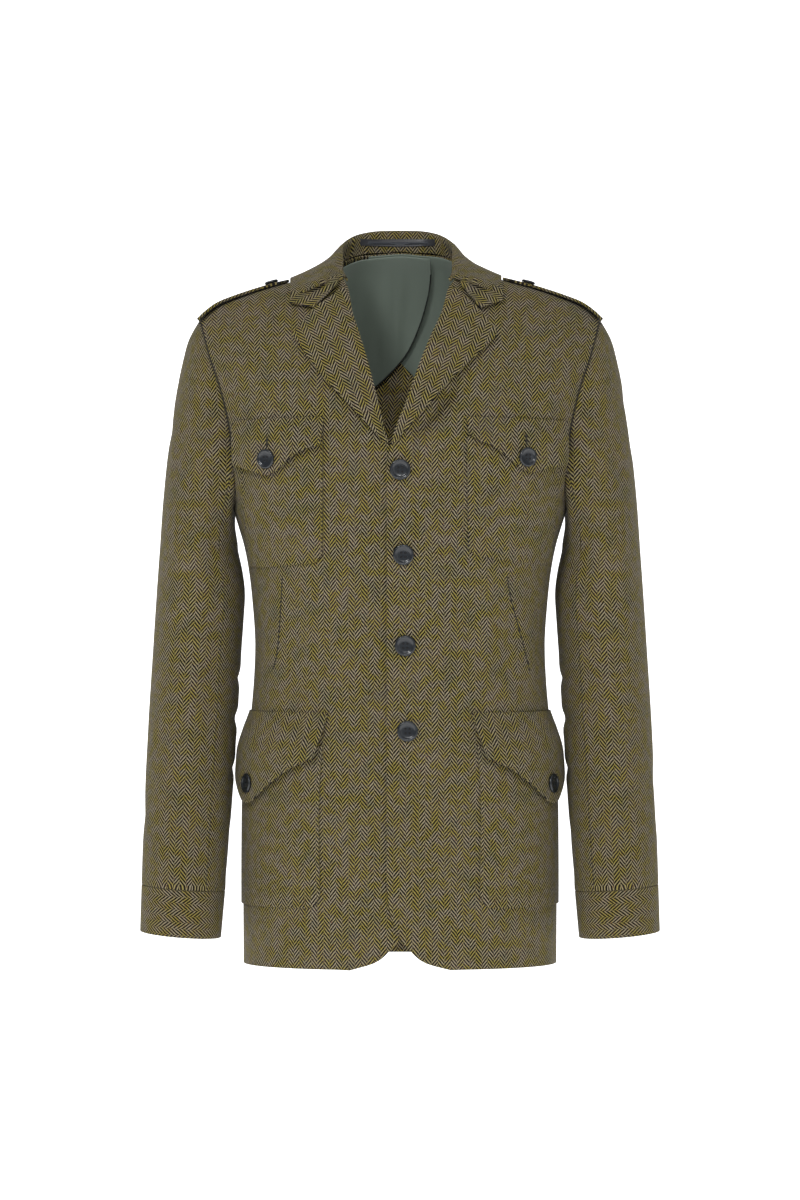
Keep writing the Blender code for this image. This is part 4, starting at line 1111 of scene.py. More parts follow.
def edge_hold(shape, reach):
    """A weight for each place of a grid: nothing at its edges, whole a few lines inside them."""
    rows = np.minimum(np.arange(shape[0]), np.arange(shape[0])[::-1])
    columns = np.minimum(np.arange(shape[1]), np.arange(shape[1])[::-1])
    near = np.minimum(rows[:, None], columns[None, :])
    return np.minimum(1.0, near / reach)


# Meshes: the weave of the far face is moved on by about the wall, so the rims show cloth and not streaks
RIM_SHIFT = np.array((1.4, 1.9))

# Rounding of a wall's edges
CLOTH_ROUNDING = 1.0
PATCH_ROUNDING = 0.6
ROUNDING_STEPS = 3
ROUNDING_ANGLE = 55.0


def add_object(name, data):
    item = bpy.data.objects.new(name, data)
    bpy.context.scene.collection.objects.link(item)
    return item


def show(name, points, faces, flat, material, bevel=0.0):
    mesh = bpy.data.meshes.new(name)
    mesh.from_pydata([tuple(p * MM) for p in points], [], faces)
    layer = mesh.uv_layers.new(name="Cloth")
    corners = np.empty(len(mesh.loops), dtype=np.int32)
    mesh.loops.foreach_get("vertex_index", corners)
    layer.data.foreach_set("uv", (np.array(flat)[corners] * MM).astype(np.float32).ravel())
    mesh.materials.append(material)
    mesh.shade_smooth()
    item = add_object(name, mesh)
    if signed_volume(mesh) < 0:
        mesh.flip_normals()
    if bevel:
        rounding = item.modifiers.new("edge", "BEVEL")
        rounding.width = bevel * MM
        rounding.segments = ROUNDING_STEPS
        rounding.angle_limit = math.radians(ROUNDING_ANGLE)
        rounding.harden_normals = False
    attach(item, "root")
    return item


def signed_volume(mesh):
    mesh.calc_loop_triangles()
    corners = np.empty(len(mesh.loop_triangles) * 3, dtype=np.int32)
    mesh.loop_triangles.foreach_get("vertices", corners)
    places = np.empty(len(mesh.vertices) * 3)
    mesh.vertices.foreach_get("co", places)
    a, b, c = (places.reshape(-1, 3)[corners.reshape(-1, 3)[:, k]] for k in range(3))
    return np.einsum("ij,ij->i", a, np.cross(b, c)).sum()


def cloth_piece(name, panel, material, held, rests_on=(), weave=None):
    """A panel's wall as a mesh, standing for its node."""
    weave = (panel.cloth if weave is None else weave).reshape(-1, 2)
    rows, cols = panel.outer.shape[:2]
    points = np.concatenate((panel.outer.reshape(-1, 3), panel.inner.reshape(-1, 3)))
    shift = rows * cols
    faces = []
    for j in range(rows - 1):
        for i in range(cols - 1):
            a = j * cols + i
            b, c, d = a + 1, a + cols + 1, a + cols
            faces += [(a, b, c, d), (a + shift, d + shift, c + shift, b + shift)]
    low = (rows - 1) * cols
    rims = [(i, i + 1) for i in range(cols - 1)]
    rims += [(low + i + 1, low + i) for i in range(cols - 1)]
    rims += [((j + 1) * cols, j * cols) for j in range(rows - 1)]
    rims += [(j * cols + cols - 1, (j + 1) * cols + cols - 1) for j in range(rows - 1)]
    faces += [(a, a + shift, b + shift, b) for a, b in rims]
    flat = np.concatenate((weave, weave + RIM_SHIFT))
    item = show(name + "_cloth", points, faces, flat, material, CLOTH_ROUNDING)
    finish_cloth(panel.cloth.reshape(-1, 2), grid_area(panel.outer), "tweed", held, rests_on, name)


def grid_area(grid):
    a, b, c, d = grid[:-1, :-1], grid[:-1, 1:], grid[1:, 1:], grid[1:, :-1]
    halves = norm(np.cross(b - a, c - a), axis=2) + norm(np.cross(c - a, d - a), axis=2)
    return halves.sum() / 2


# A cut that fills less than the first share of its width by its length is bent; its length is taken anew
BENT_SHARE = 0.3
STRAIGHT_SHARE = 0.6


def finish_cloth(spots, area, slot, held, rests_on, node):
    """Works out how large the piece's cut is, and hides the node that the piece stands for."""
    width, length = np.ptp(spots, axis=0) * MM
    flat_area = min(area * MM * MM, width * length)
    if flat_area < BENT_SHARE * width * length:
        length = flat_area / (STRAIGHT_SHARE * width)
    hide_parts(node)
    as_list(rests_on)


def patch_piece(name, panel, outline, flat, lift, wall, material, held, rests_on, turn=0.0,
                shift=(0.0, 0.0), rows=None, bevel=PATCH_ROUNDING, node=True, slot="tweed"):
    """A piece that lies on a panel, moved out by lift, with its weave turned and shifted."""
    where, triangles, on, normal, cloth = cut_patch(panel, outline, flat, rows)
    lifts = np.array([lift(p) if callable(lift) else lift for p in where])[:, None]
    bottom = on + normal * lifts
    top = on + normal * (lifts + wall)
    count = len(on)
    edges = set()
    for a, b, c in triangles:
        edges.update(((a, b), (b, c), (c, a)))
    rim = [edge for edge in edges if edge[::-1] not in edges]
    faces = [tuple(t) for t in triangles]
    faces += [tuple(k + count for k in t[::-1]) for t in triangles]
    faces += [(b, a, a + count, b + count) for a, b in rim]
    cos, sin = cos_sin(turn)
    spots = cloth @ np.array(((cos, sin), (-sin, cos))) + np.array(shift)
    flat_spots = np.concatenate((spots + RIM_SHIFT, spots))
    item = show(name + "_cloth", np.concatenate((bottom, top)), faces, flat_spots, material, bevel)
    if node:
        a, b, c = (top[np.array(triangles)[:, k]] for k in range(3))
        area = norm(np.cross(b - a, c - a), axis=1).sum() / 2
        finish_cloth(spots, area, slot, held, rests_on, name)


def trim(name, panel, outline, flat, lift, wall, material, bevel=0.0, **more):
    """A small piece that only shows, and stands for no node."""
    patch_piece(name, panel, outline, flat, lift, wall, material, "laid", [], bevel=bevel, node=False,
                **more)


# Materials
class Nodes:
    """Short calls for the nodes of one material."""

    def __init__(self, name):
        self.material = bpy.data.materials.new(name)
        self.material.use_nodes = True
        self.tree = self.material.node_tree
        self.shader = self.tree.nodes["Principled BSDF"]

    def add(self, kind, **settings):
        node = self.tree.nodes.new(kind)
        for key, value in settings.items():
            setattr(node, key, value)
        return node

    def feed(self, socket, value):
        if isinstance(value, bpy.types.NodeSocket):
            self.tree.links.new(value, socket)
        else:
            socket.default_value = value

    def fix(self, node, **values):
        """Sets unlinked values of a node; an underscore in a name stands for a space."""
        for key, value in values.items():
            node.inputs[key.replace("_", " ")].default_value = value

    def relief(self, height, strength, distance):
        bump = self.add("ShaderNodeBump")
        self.fix(bump, Strength=strength, Distance=distance)
        self.feed(bump.inputs["Height"], height)
        self.feed(self.shader.inputs["Normal"], bump.outputs[0])

    def flecks(self, below, place, yarn, low, high, amount):
        share = self.math("MULTIPLY", self.between(place, low, high), amount)
        return self.mix(share, below, yarn)

    def math(self, operation, *values):
        node = self.add("ShaderNodeMath", operation=operation)
        for socket, value in zip(node.inputs, values):
            self.feed(socket, value)
        return node.outputs[0]

    def mix(self, factor, a, b):
        node = self.add("ShaderNodeMix", data_type="RGBA")
        self.feed(node.inputs["Factor"], factor)
        self.feed(node.inputs[6], a)
        self.feed(node.inputs[7], b)
        return node.outputs[2]

    def noise(self, place, scale, detail, output="Fac"):
        node = self.add("ShaderNodeTexNoise")
        self.feed(node.inputs["Vector"], place)
        self.fix(node, Scale=scale, Detail=detail)
        return node.outputs[output]

    def between(self, value, low, high):
        node = self.add("ShaderNodeMapRange", interpolation_type="SMOOTHSTEP")
        self.feed(node.inputs["Value"], value)
        self.fix(node, From_Min=low, From_Max=high)
        return node.outputs["Result"]


# The weave, in metres: width of a column, height of a yarn, and how steeply the yarns climb
COLUMN = 0.0065
PITCH = 0.0043
CLIMB = 1.9
WOBBLE = (0.0008, 0.0008, 0.0)
DARK_YARN = (0.006, 0.005, 0.002, 1.0)
MAUVE_YARN = (0.020, 0.013, 0.013, 1.0)
OLIVE_YARN = (0.272, 0.222, 0.050, 1.0)
BEIGE_YARN = (0.295, 0.250, 0.165, 1.0)
GREEN_YARN = (0.170, 0.168, 0.085, 1.0)
RUST_YARN = (0.170, 0.075, 0.026, 1.0)
BLUE_YARN = (0.034, 0.041, 0.048, 1.0)
# Noise, a unit of the weave's metres to the scale, and its detail
WOBBLE_NOISE = (260.0, 1.0)
LARGE_NOISE = (26.0, 2.0)
PATCH_NOISE = (48.0, 3.0)
MIDDLE_NOISE = (95.0, 2.0)
SMALL_NOISE = (420.0, 1.0)
TINY_NOISE = (900.0, 1.0)
# Where one look passes into the next, and for flecks how much of them shows
YARN_EDGE = (0.08, 0.48)
OLIVE_TO_BEIGE = (0.34, 0.66)
DARK_TO_MAUVE = (0.42, 0.66)
GREEN_PATCHES = (0.50, 0.72, 0.5)
RUST_FLECKS = (0.62, 0.70, 0.7)
BLUE_FLECKS = (0.58, 0.70, 0.6)
SHADE_SPREAD = 0.9
SHADE_BASE = 0.45
TWEED_RELIEF = (0.3, 0.0004)
TWEED_FUZZ = 1.2
SATIN_THREADS = (2400.0, 300.0, 1.0)
SATIN_RELIEF = (0.15, 0.0002)


def tweed_material(name, brightness=1.0):
    """Herringbone: yarn lines that climb and fall in upright columns, with flecks of other wool."""
    n = Nodes(name)
    cloth = n.add("ShaderNodeUVMap", uv_map="Cloth").outputs["UV"]
    centred = n.add("ShaderNodeVectorMath", operation="MULTIPLY_ADD")
    n.feed(centred.inputs[0], n.noise(cloth, *WOBBLE_NOISE, output="Color"))
    centred.inputs[1].default_value = WOBBLE
    n.feed(centred.inputs[2], cloth)
    split = n.add("ShaderNodeSeparateXYZ")
    n.feed(split.inputs[0], centred.outputs[0])
    across = n.math("DIVIDE", split.outputs["X"], COLUMN)
    climb = n.math("MULTIPLY", n.math("PINGPONG", across, 1.0), CLIMB)
    odd = n.math("FLOORED_MODULO", n.math("FLOOR", across), 2.0)
    rise = n.math("ADD", n.math("DIVIDE", split.outputs["Y"], PITCH), climb)
    phase = n.math("MULTIPLY_ADD", odd, 0.5, rise)
    wave = n.math("SINE", n.math("MULTIPLY", phase, 2.0 * math.pi))
    line = n.between(wave, *YARN_EDGE)
    small = n.noise(cloth, *SMALL_NOISE)
    tiny = n.noise(cloth, *TINY_NOISE)
    light = n.mix(n.between(n.noise(cloth, *MIDDLE_NOISE), *OLIVE_TO_BEIGE), OLIVE_YARN, BEIGE_YARN)
    light = n.flecks(light, n.noise(cloth, *PATCH_NOISE), GREEN_YARN, *GREEN_PATCHES)
    light = n.flecks(light, small, RUST_YARN, *RUST_FLECKS)
    dark = n.mix(n.between(n.noise(cloth, *LARGE_NOISE), *DARK_TO_MAUVE), DARK_YARN, MAUVE_YARN)
    dark = n.flecks(dark, small, BLUE_YARN, *BLUE_FLECKS)
    tone = n.add("ShaderNodeVectorMath", operation="SCALE")
    n.feed(tone.inputs[0], n.mix(line, dark, light))
    n.feed(tone.inputs["Scale"], n.math("MULTIPLY_ADD", tiny, SHADE_SPREAD, SHADE_BASE * brightness))
    n.feed(n.shader.inputs["Base Color"], tone.outputs[0])
    n.fix(n.shader, Roughness=0.95, Specular_IOR_Level=0.15, Sheen_Weight=0.05, Sheen_Roughness=0.6)
    n.relief(n.math("ADD", line, n.math("MULTIPLY", tiny, TWEED_FUZZ)), *TWEED_RELIEF)
    return n.material


def plain_material(name, color, roughness, coat=0.0, glow=0.0):
    n = Nodes(name)
    n.fix(n.shader, Base_Color=(*color, 1.0), Roughness=roughness, Coat_Weight=coat,
          Emission_Color=(1.0, 1.0, 1.0, 1.0), Emission_Strength=glow)
    return n.material


def satin_material(name, color, roughness):
    n = Nodes(name)
    stretch = n.add("ShaderNodeMapping")
    n.feed(stretch.inputs["Vector"], n.add("ShaderNodeUVMap", uv_map="Cloth").outputs["UV"])
    n.fix(stretch, Scale=SATIN_THREADS)
    n.fix(n.shader, Base_Color=(*color, 1.0), Roughness=roughness, Sheen_Weight=0.2)
    n.relief(n.noise(stretch.outputs[0], 1.0, 1.0), *SATIN_RELIEF)
    return n.material


# Creases, in each piece's flat coordinates: from, to, half width and depth in mm
FRONT_CREASES = {
    LEFT: (
        # u1, v1, u2, v2, width, depth
        (64.0, -120.0, 10.0, -196.0, 8.0, 8.0),
        (62.0, -322.0, 84.0, -452.0, 15.0, 1.5),
        (118.0, -345.0, 108.0, -470.0, 17.0, 1.8),
        (150.0, -402.0, 78.0, -428.0, 10.0, 1.3),
        (168.0, -372.0, 112.0, -384.0, 9.0, 1.1),
        (30.0, -510.0, 38.0, -690.0, 18.0, 1.3),
        (72.0, -560.0, 60.0, -715.0, 20.0, 1.2),
        (128.0, -98.0, 112.0, -158.0, 15.0, 1.4),
        (186.0, -150.0, 158.0, -238.0, 12.0, 2.2),
        (120.0, -70.0, 150.0, -120.0, 14.0, 1.0),
    ),
    RIGHT: (
        (-70.0, -328.0, -88.0, -446.0, 16.0, 1.6),
        (-122.0, -338.0, -104.0, -480.0, 18.0, 1.7),
        (-152.0, -394.0, -86.0, -418.0, 11.0, 1.4),
        (-166.0, -432.0, -118.0, -436.0, 9.0, 1.0),
        (-26.0, -520.0, -40.0, -700.0, 19.0, 1.4),
        (-74.0, -570.0, -66.0, -720.0, 18.0, 1.1),
        (-124.0, -104.0, -110.0, -160.0, 14.0, 1.3),
        (-184.0, -156.0, -160.0, -244.0, 13.0, 2.3),
        (-128.0, -72.0, -152.0, -118.0, 13.0, 1.0),
    ),
}
BACK_CREASES = (
    (-60.0, -90.0, -92.0, -210.0, 20.0, 2.0),
    (66.0, -96.0, 88.0, -222.0, 19.0, 2.1),
    (-150.0, -150.0, -120.0, -250.0, 13.0, 2.4),
    (152.0, -146.0, 128.0, -246.0, 14.0, 2.2),
    (-36.0, -330.0, -58.0, -470.0, 20.0, 2.2),
    (44.0, -340.0, 62.0, -456.0, 18.0, 1.9),
    (-120.0, -372.0, -52.0, -392.0, 11.0, 1.6),
    (118.0, -384.0, 60.0, -402.0, 12.0, 1.7),
    (-84.0, -520.0, -96.0, -690.0, 22.0, 1.9),
    (20.0, -560.0, 12.0, -710.0, 24.0, 1.8),
    (104.0, -540.0, 118.0, -700.0, 20.0, 1.6),
)
TOP_SLEEVE_CREASES = {
    LEFT: (
        (-14.0, -62.0, 6.0, -150.0, 14.0, 1.8),
        (70.0, -96.0, 34.0, -176.0, 12.0, 2.0),
        (-82.0, -110.0, -46.0, -188.0, 13.0, 2.0),
        (118.0, -236.0, 58.0, -262.0, 9.0, 2.4),
        (112.0, -292.0, 36.0, -306.0, 10.0, 2.8),
        (106.0, -338.0, 44.0, -330.0, 9.0, 2.2),
        (-112.0, -270.0, -50.0, -296.0, 10.0, 1.9),
        (-104.0, -352.0, -30.0, -340.0, 11.0, 1.7),
        (88.0, -404.0, 30.0, -436.0, 11.0, 1.9),
        (-20.0, -450.0, 12.0, -540.0, 15.0, 1.5),
    ),
    RIGHT: (
        (12.0, -58.0, -8.0, -144.0, 14.0, 1.7),
        (-72.0, -90.0, -38.0, -170.0, 12.0, 2.1),
        (84.0, -104.0, 48.0, -182.0, 13.0, 1.9),
        (-116.0, -244.0, -52.0, -272.0, 10.0, 2.6),
        (-110.0, -300.0, -40.0, -318.0, 10.0, 2.7),
        (-104.0, -350.0, -48.0, -346.0, 9.0, 2.1),
        (108.0, -282.0, 44.0, -300.0, 10.0, 2.0),
        (100.0, -342.0, 34.0, -356.0, 11.0, 1.6),
        (-84.0, -412.0, -26.0, -446.0, 12.0, 2.0),
        (18.0, -446.0, -10.0, -548.0, 15.0, 1.6),
    ),
}
UNDER_SLEEVE_CREASES = (
    (-40.0, -170.0, 36.0, -186.0, 9.0, 2.2),
    (-38.0, -226.0, 40.0, -214.0, 10.0, 2.6),
    (-34.0, -268.0, 30.0, -276.0, 9.0, 2.0),
    (-6.0, -320.0, 8.0, -400.0, 13.0, 1.5),
)
LAPEL_TURN = {LEFT: 20.5, RIGHT: -20.5}

# Soft folds of the lining, seen from the front: x, width and depth
LINING_FOLDS = (
    (-42.0, 9.0, 1.6),
    (-14.0, 7.0, 2.4),
    (-2.0, 5.0, 1.8),
    (22.0, 8.0, 1.2),
    (66.0, 14.0, 1.5),
    (-92.0, 16.0, 1.8),
)


def body_pieces():
    """Fine panels of the fronts, back, sleeves and cuffs, by name."""
    fronts = {}
    back = back_grid()
    back_panel = Panel(back, grid_normals(back, away_from_axis))
    first = len(LOWER_ROWS)
    for side in (LEFT, RIGHT):
        grid = front_grid(side)
        fronts[side] = Panel(grid, grid_normals(grid, away_from_axis))
    clamp_side_seams(fronts, back_panel, first)
    sleeves = {}
    for side in (LEFT, RIGHT):
        sleeves[side] = sleeve_panels(side, fronts[side], back_panel, first)
    return fronts, back_panel, sleeves


def dress_body(tweed):
    """Gives the folded fronts, the same without folds, and the back."""
    coarse_fronts, coarse_back, sleeves = body_pieces()
    fronts, smooth_fronts = {}, {}
    for side, name in SIDES:
        front = finer(coarse_fronts[side])
        body_cloth(front)
        fold(front, FRONT_CREASES[side])
        level_weave(front)
        fronts[side] = front
        smooth_fronts[side] = finer(coarse_fronts[side])
        smooth_fronts[side].cloth = front.cloth
        cloth_piece("front_" + name, front, tweed, "hung")
    back = finer(coarse_back)
    body_cloth(back)
    fold(back, BACK_CREASES)
    level_weave(back)
    cloth_piece("back", back, tweed, "hung")
    for side, name in SIDES:
        under, top, cuff = (finer(panel) for panel in sleeves[side])
        tube_cloth(under)
        tube_cloth(top)
        tube_cloth(cuff, turned=True)
        fold(top, TOP_SLEEVE_CREASES[side], 3)
        fold(under, UNDER_SLEEVE_CREASES, 3)
        sleeve_weave(top, side, 1)
        sleeve_weave(under, side, -1)
        cloth_piece("sleeve_under_" + name, under, tweed, "hung")
        cloth_piece("sleeve_top_" + name, top, tweed, "hung")
        cloth_piece("cuff_" + name, cuff, tweed, "hung")
    return fronts, smooth_fronts, back


def dress_lapels(fronts, tweed):
    for side, name in SIDES:
        front = fronts[side]
        outline = mirrored(LAPEL[side], side)
        patch_piece("lapel_" + name, front, outline, front_view(front.outer), lapel_lift(side), PATCH_WALL,
                    tweed, "folded", ["front_" + name + "_cloth"], turn=LAPEL_TURN[side], bevel=0.8)


# The unlined inside of the back that the neck shows, in a brighter copy of the tweed: painted light where
# the inside lies in shade
BACK_INSIDE = ((-80.0, -95.0), (-80.0, -262.0), (80.0, -262.0), (80.0, -95.0))
INSIDE_PAINTED_LIGHT = 3.4
INSIDE_APART = 0.25
INSIDE_WALL = 0.2


def dress_inside(back, lit_tweed_copy):
    # painted light: the shaded inside of the back gets a brighter copy of the tweed
    trim("back_inside_painted_light", back, BACK_INSIDE, front_view(back.outer), -(WALL + INSIDE_APART), INSIDE_WALL,
         lit_tweed_copy, shift=(2.0, 0.0))


# How the lining's folds lean from one height, and how they begin below the neck
LINING_LEAN = 0.06
LINING_LEAN_FROM = -60.0
LINING_CALM = 30.0
LINING_BEGIN = 60.0
LINING_APART = 3.0
PIPING_START = 4
PIPING_WIDTH = 1.3
PIPING_WALL = 1.4
PIPING_LIFT = 0.5


def lining_lift(lift):
    def moved(spot):
        rise = 0.0
        for x, width, depth in LINING_FOLDS:
            lean = LINING_LEAN * (spot[1] - LINING_LEAN_FROM)
            rise += depth * math.exp(-((spot[0] - x - lean) / width) ** 2)
        return lift - rise * ease((LINING_CALM - spot[1]) / LINING_BEGIN)
    return moved


def dress_lining(back, satin, piping):
    """The two halves of the lining, and the piping along the edge of the one on top."""
    view = front_view(back.outer)
    edge = rounded(LINING_EDGE)
    depths = {RIGHT: 2 * GAP + WALL + 2 * LINING_WALL + LINING_APART, LEFT: GAP + WALL + LINING_WALL}
    for side, name in SIDES:
        outline = mirrored(edge + list(LINING_OUTER), -side)
        patch_piece("back_lining_" + name, back, outline, view, lining_lift(-depths[side]), LINING_WALL,
                    satin, "hung", ["back_cloth"], bevel=0.3, slot="lining_satin")
    strip = ribbon(mirrored(edge[PIPING_START:], -RIGHT), PIPING_WIDTH)
    lift = lining_lift(-(depths[RIGHT] + PIPING_LIFT))
    trim("lining_piping", back, strip, view, lift, PIPING_WALL, piping, bevel=PATCH_ROUNDING)


def ribbon(path, width):
    """The outline of a strip of even width along a path."""
    path = np.array(path)
    along = np.gradient(path, axis=0)
    along /= norm(along, axis=1, keepdims=True)
    aside = np.stack((-along[:, 1], along[:, 0]), axis=1) * width / 2
    return [tuple(p) for p in np.concatenate((path + aside, (path - aside)[::-1]))]


# The corners of the collar ends that cover the top of the lapels, as the front shows them
COLLAR_END = {
    LEFT: ((104.6, -35.5), (103.6, -47.3), (81.1, -55.6), (61.5, -32.0), (62.0, -25.0)),
    RIGHT: ((110.8, -40.5), (112.4, -50.2), (86.6, -55.1), (62.5, -31.0), (62.5, -23.5)),
}
COLLAR_END_TURN = 58.0
COLLAR_END_LIFT = 3.9
COLLAR_END_RISE = 1.7
COLLAR_END_LOW = -44.0
COLLAR_END_RUN = 14.0
FINE_STEP = 3.0


def collar_end_lift(spot):
    """The corner rises to cover the edge of the leaf behind it."""
    return COLLAR_END_LIFT + COLLAR_END_RISE * ease((spot[1] - COLLAR_END_LOW) / COLLAR_END_RUN)


def crown_row(collar):
    """The row along the top of the collar's fold."""
    return int(np.argmax(collar.outer[:, collar.outer.shape[1] // 2, 2]))


def dress_collar(tweed, fronts):
    """The collar, its weave across the stand and along the leaf, and the leaf's front corners."""
    collar = finer(collar_panel(), FINE_STEP)
    tube_cloth(collar)
    crown = crown_row(collar)
    weave = collar.cloth.copy()
    weave[crown:] = weave[crown:, :, ::-1]
    under = ["front_left_cloth", "front_right_cloth", "back_cloth"]
    cloth_piece("collar", collar, tweed, "folded", under, weave=weave)
    for side, name in SIDES:
        front = fronts[side]
        trim("collar_end_" + name, front, mirrored(COLLAR_END[side], side), front_view(front.outer),
             collar_end_lift, PATCH_WALL, tweed, bevel=PATCH_ROUNDING, turn=-side * COLLAR_END_TURN)
    return collar


# A paler ribbon down the middle of the hanger loop
LOOP_RIBBON = ((-34.0, 24.6), (0.0, 24.0), (30.0, 24.6))
LOOP_RIBBON_WIDTH = 3.0
LOOP_RIBBON_WALL = 0.15
BELOW_CROWN = 2


def dress_loop(collar, navy, middle):
    view = front_view(collar.outer)
    rows = (0, crown_row(collar) - BELOW_CROWN)
    patch_piece("hanger_loop", collar, LOOP, view, GAP, LOOP_WALL, navy, "laid", ["collar_cloth"],
                rows=rows, bevel=0.3, slot="loop_satin")
    trim("hanger_loop_weave", collar, ribbon(LOOP_RIBBON, LOOP_RIBBON_WIDTH), view, GAP + LOOP_WALL,
         LOOP_RIBBON_WALL, middle, rows=rows)


FLAP_STAND = 2.8
FLAP_CURL = 3.8
FLAP_HELD = 30.0
FLAP_SEAM = 16.0
FLAP_DROP = 45.0
# How much of its stand a flap keeps under its button, and what lies between a panel and that button
FLAP_PRESSED = 0.9
UNDER_BUTTON = 2 * GAP + PATCH_WALL + FLAP_STAND * FLAP_PRESSED + PATCH_WALL
# Buttonholes, from the button: beside it and above it
CHEST_SLIT = ((0.0, 12.0), (-0.4, 22.0))
HIP_SLIT = ((1.0, 12.0), (2.0, 23.0))
SLIT_WIDTH = 1.7
SLIT_WALL = 0.4


def flap_lift(top, button):
    """A flap lies flat at its top seam, is held at its button and curls off at its free corners."""
    def lift(spot):
        down = top - spot[1]
        away = math.dist(spot, button) / FLAP_HELD
        curl = FLAP_STAND + FLAP_CURL * (1.0 - math.exp(-away * away))
        return GAP + (GAP + PATCH_WALL) * ease(down / FLAP_SEAM) + curl * ease(down / FLAP_DROP)
    return lift


def dress_pocket(kind, name, panel, flat, outlines, spot, slit, shifts, under, looks):
    """A patch pocket, its flap, and the flap's buttonhole and button."""
    tweed, seam, horn, hole_shade = looks
    pocket, flap = outlines
    patch_piece(kind + "_pocket_" + name, panel, pocket, flat, GAP, PATCH_WALL, tweed, "laid", under,
                shift=shifts[0])
    patch_piece(kind + "_flap_" + name, panel, flap, flat, flap_lift(flap[0][1], spot), PATCH_WALL, tweed,
                "laid", under, shift=shifts[1])
    path = [(spot[0] + x, spot[1] + z) for x, z in slit]
    trim(kind + "_buttonhole_" + name, panel, ribbon(path, SLIT_WIDTH), flat, UNDER_BUTTON, SLIT_WALL, seam)
    dress_button(kind + "_button_" + name, panel, flat, spot, POCKET_BUTTON_RADIUS, BUTTON_HEIGHT,
                 UNDER_BUTTON, horn, hole_shade)


def dress_pockets(fronts, back, looks):
    for side, name in SIDES:
        front = fronts[side]
        under = ["front_" + name + "_cloth"]
        outlines = mirrored(CHEST_POCKET[side], side), mirrored(CHEST_FLAP[side], side)
        spot = mirrored([CHEST_BUTTON[side]], side)[0]
        dress_pocket("chest", name, front, front_view(front.outer), outlines, spot,
                     mirrored(CHEST_SLIT, side), ((2.5, 1.3), (4.0, 0.7)), under, looks)
        around, flat = side_panel(front, back, side)
        outlines = both_ways(HIP_POCKET), both_ways(HIP_FLAP)
        dress_pocket("hip", name, around, flat, outlines, (HIP_MIDDLE, HIP_BUTTON_HEIGHT),
                     HIP_SLIT, ((0.0, 0.0), (3.0, 1.1)), under + ["back_cloth"], looks)


def dress_straps(tweed, horn, hole_shade):
    for side, name in SIDES:
        strap = finer(strap_panel(side), FINE_STEP)
        tube_cloth(strap)
        cloth_piece("epaulette_" + name, strap, tweed, "laid", ["front_" + name + "_cloth", "back_cloth"])
        dress_button("epaulette_button_" + name, strap, strap.outer[:, :, :2], (side * STRAP_BUTTON_X, 0.0),
                     STRAP_BUTTON_RADIUS, STRAP_BUTTON_HEIGHT, 0.0, horn, hole_shade)


SMOOTH_BUTTON = (
    # share of radius, share of height
    (0.0, 0.0), (0.80, 0.0), (0.93, 0.10), (0.99, 0.30), (1.0, 0.52), (0.98, 0.76),
    (0.93, 0.93), (0.86, 1.0), (0.79, 0.96), (0.72, 0.82), (0.66, 0.68), (0.58, 0.60),
    (0.30, 0.56), (0.0, 0.56),
)
ROUND = 48
# Holes, which are dark discs of painted shade where a real button has sunk holes: shares of the button's
# radius, the height of the dish they lie in, and their own turned form
HOLE_SPREAD = 0.20
HOLE_RADIUS = 0.115
HOLE_HEIGHT = 0.36
HOLE_SINK = 0.3
HOLE_ROUND = 12
HOLE_FORM = ((0.0, 0.0), (1.0, 0.0), (1.0, 1.0), (0.0, 1.0))
UPRIGHT = np.array((0.0, 0.0, 1.0))
BEHIND = np.array((0.0, 1.0, 0.0))
NEARLY_UPRIGHT = 0.3


def lathe(seat, axis, aside, radius, height, profile, sides):
    """Points and faces of a turned form about an axis from its seat."""
    above = np.cross(axis, aside)
    points = [seat]
    for share, rise in profile[1:-1]:
        for k in range(sides):
            turn = 2 * math.pi * k / sides
            spoke = aside * math.cos(turn) + above * math.sin(turn)
            points.append(seat + spoke * radius * share + axis * height * rise)
    points.append(seat + axis * height * profile[-1][1])
    faces = []
    rings = len(profile) - 2
    for k in range(sides):
        after = (k + 1) % sides
        faces.append((0, 1 + after, 1 + k))
        for ring in range(rings - 1):
            a, b = 1 + ring * sides, 1 + (ring + 1) * sides
            faces.append((a + k, a + after, b + after, b + k))
        last = 1 + (rings - 1) * sides
        faces.append((last + k, last + after, len(points) - 1))
    return points, faces


def dress_button(name, panel, flat, spot, radius, height, lift, horn, hole_shade):
    seat, axis = button_seat(panel, flat, spot, radius, lift)
    aside = np.cross(axis, UPRIGHT)
    if norm(aside) < NEARLY_UPRIGHT:
        aside = np.cross(axis, BEHIND)
    aside = unit(aside)
    above = np.cross(axis, aside)
    points, faces = lathe(seat, axis, aside, radius, height, SMOOTH_BUTTON, ROUND)
    item = show(name + "_face", points, faces, np.zeros((len(points), 2)), horn)
    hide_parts(name)
    dish = seat + axis * height * SMOOTH_BUTTON[-1][1]
    for number, (a, b) in enumerate(((1, 1), (1, -1), (-1, -1), (-1, 1)), start=1):
        place = dish + (aside * a + above * b) * radius * HOLE_SPREAD - axis * HOLE_SINK
        points, faces = lathe(place, axis, aside, radius * HOLE_RADIUS, HOLE_HEIGHT, HOLE_FORM, HOLE_ROUND)
        # each hole is a dark disc on the dish: painted shade in place of a sunk hole
        show("%s_hole_%d" % (name, number), points, faces, np.zeros((len(points), 2)), hole_shade)


# Seams that only show as lines; the dark line along each armhole is painted shade of the seam's groove
DARTS = {
    LEFT: ((109.0, -327.0), (112.5, -350.0), (120.0, -375.0), (133.0, -424.0)),
    RIGHT: ((120.0, -327.0), (122.5, -376.0), (126.5, -415.0), (133.0, -426.0)),
}
ARMHOLE_SEAM_LOW = -212.0
ARMHOLE_SEAM_INSET = 1.0
ARMHOLE_SEAM_WIDTH = 1.3
DART_WIDTH = 0.9
LINE_LIFT = 0.05
LINE_WALL = 0.25


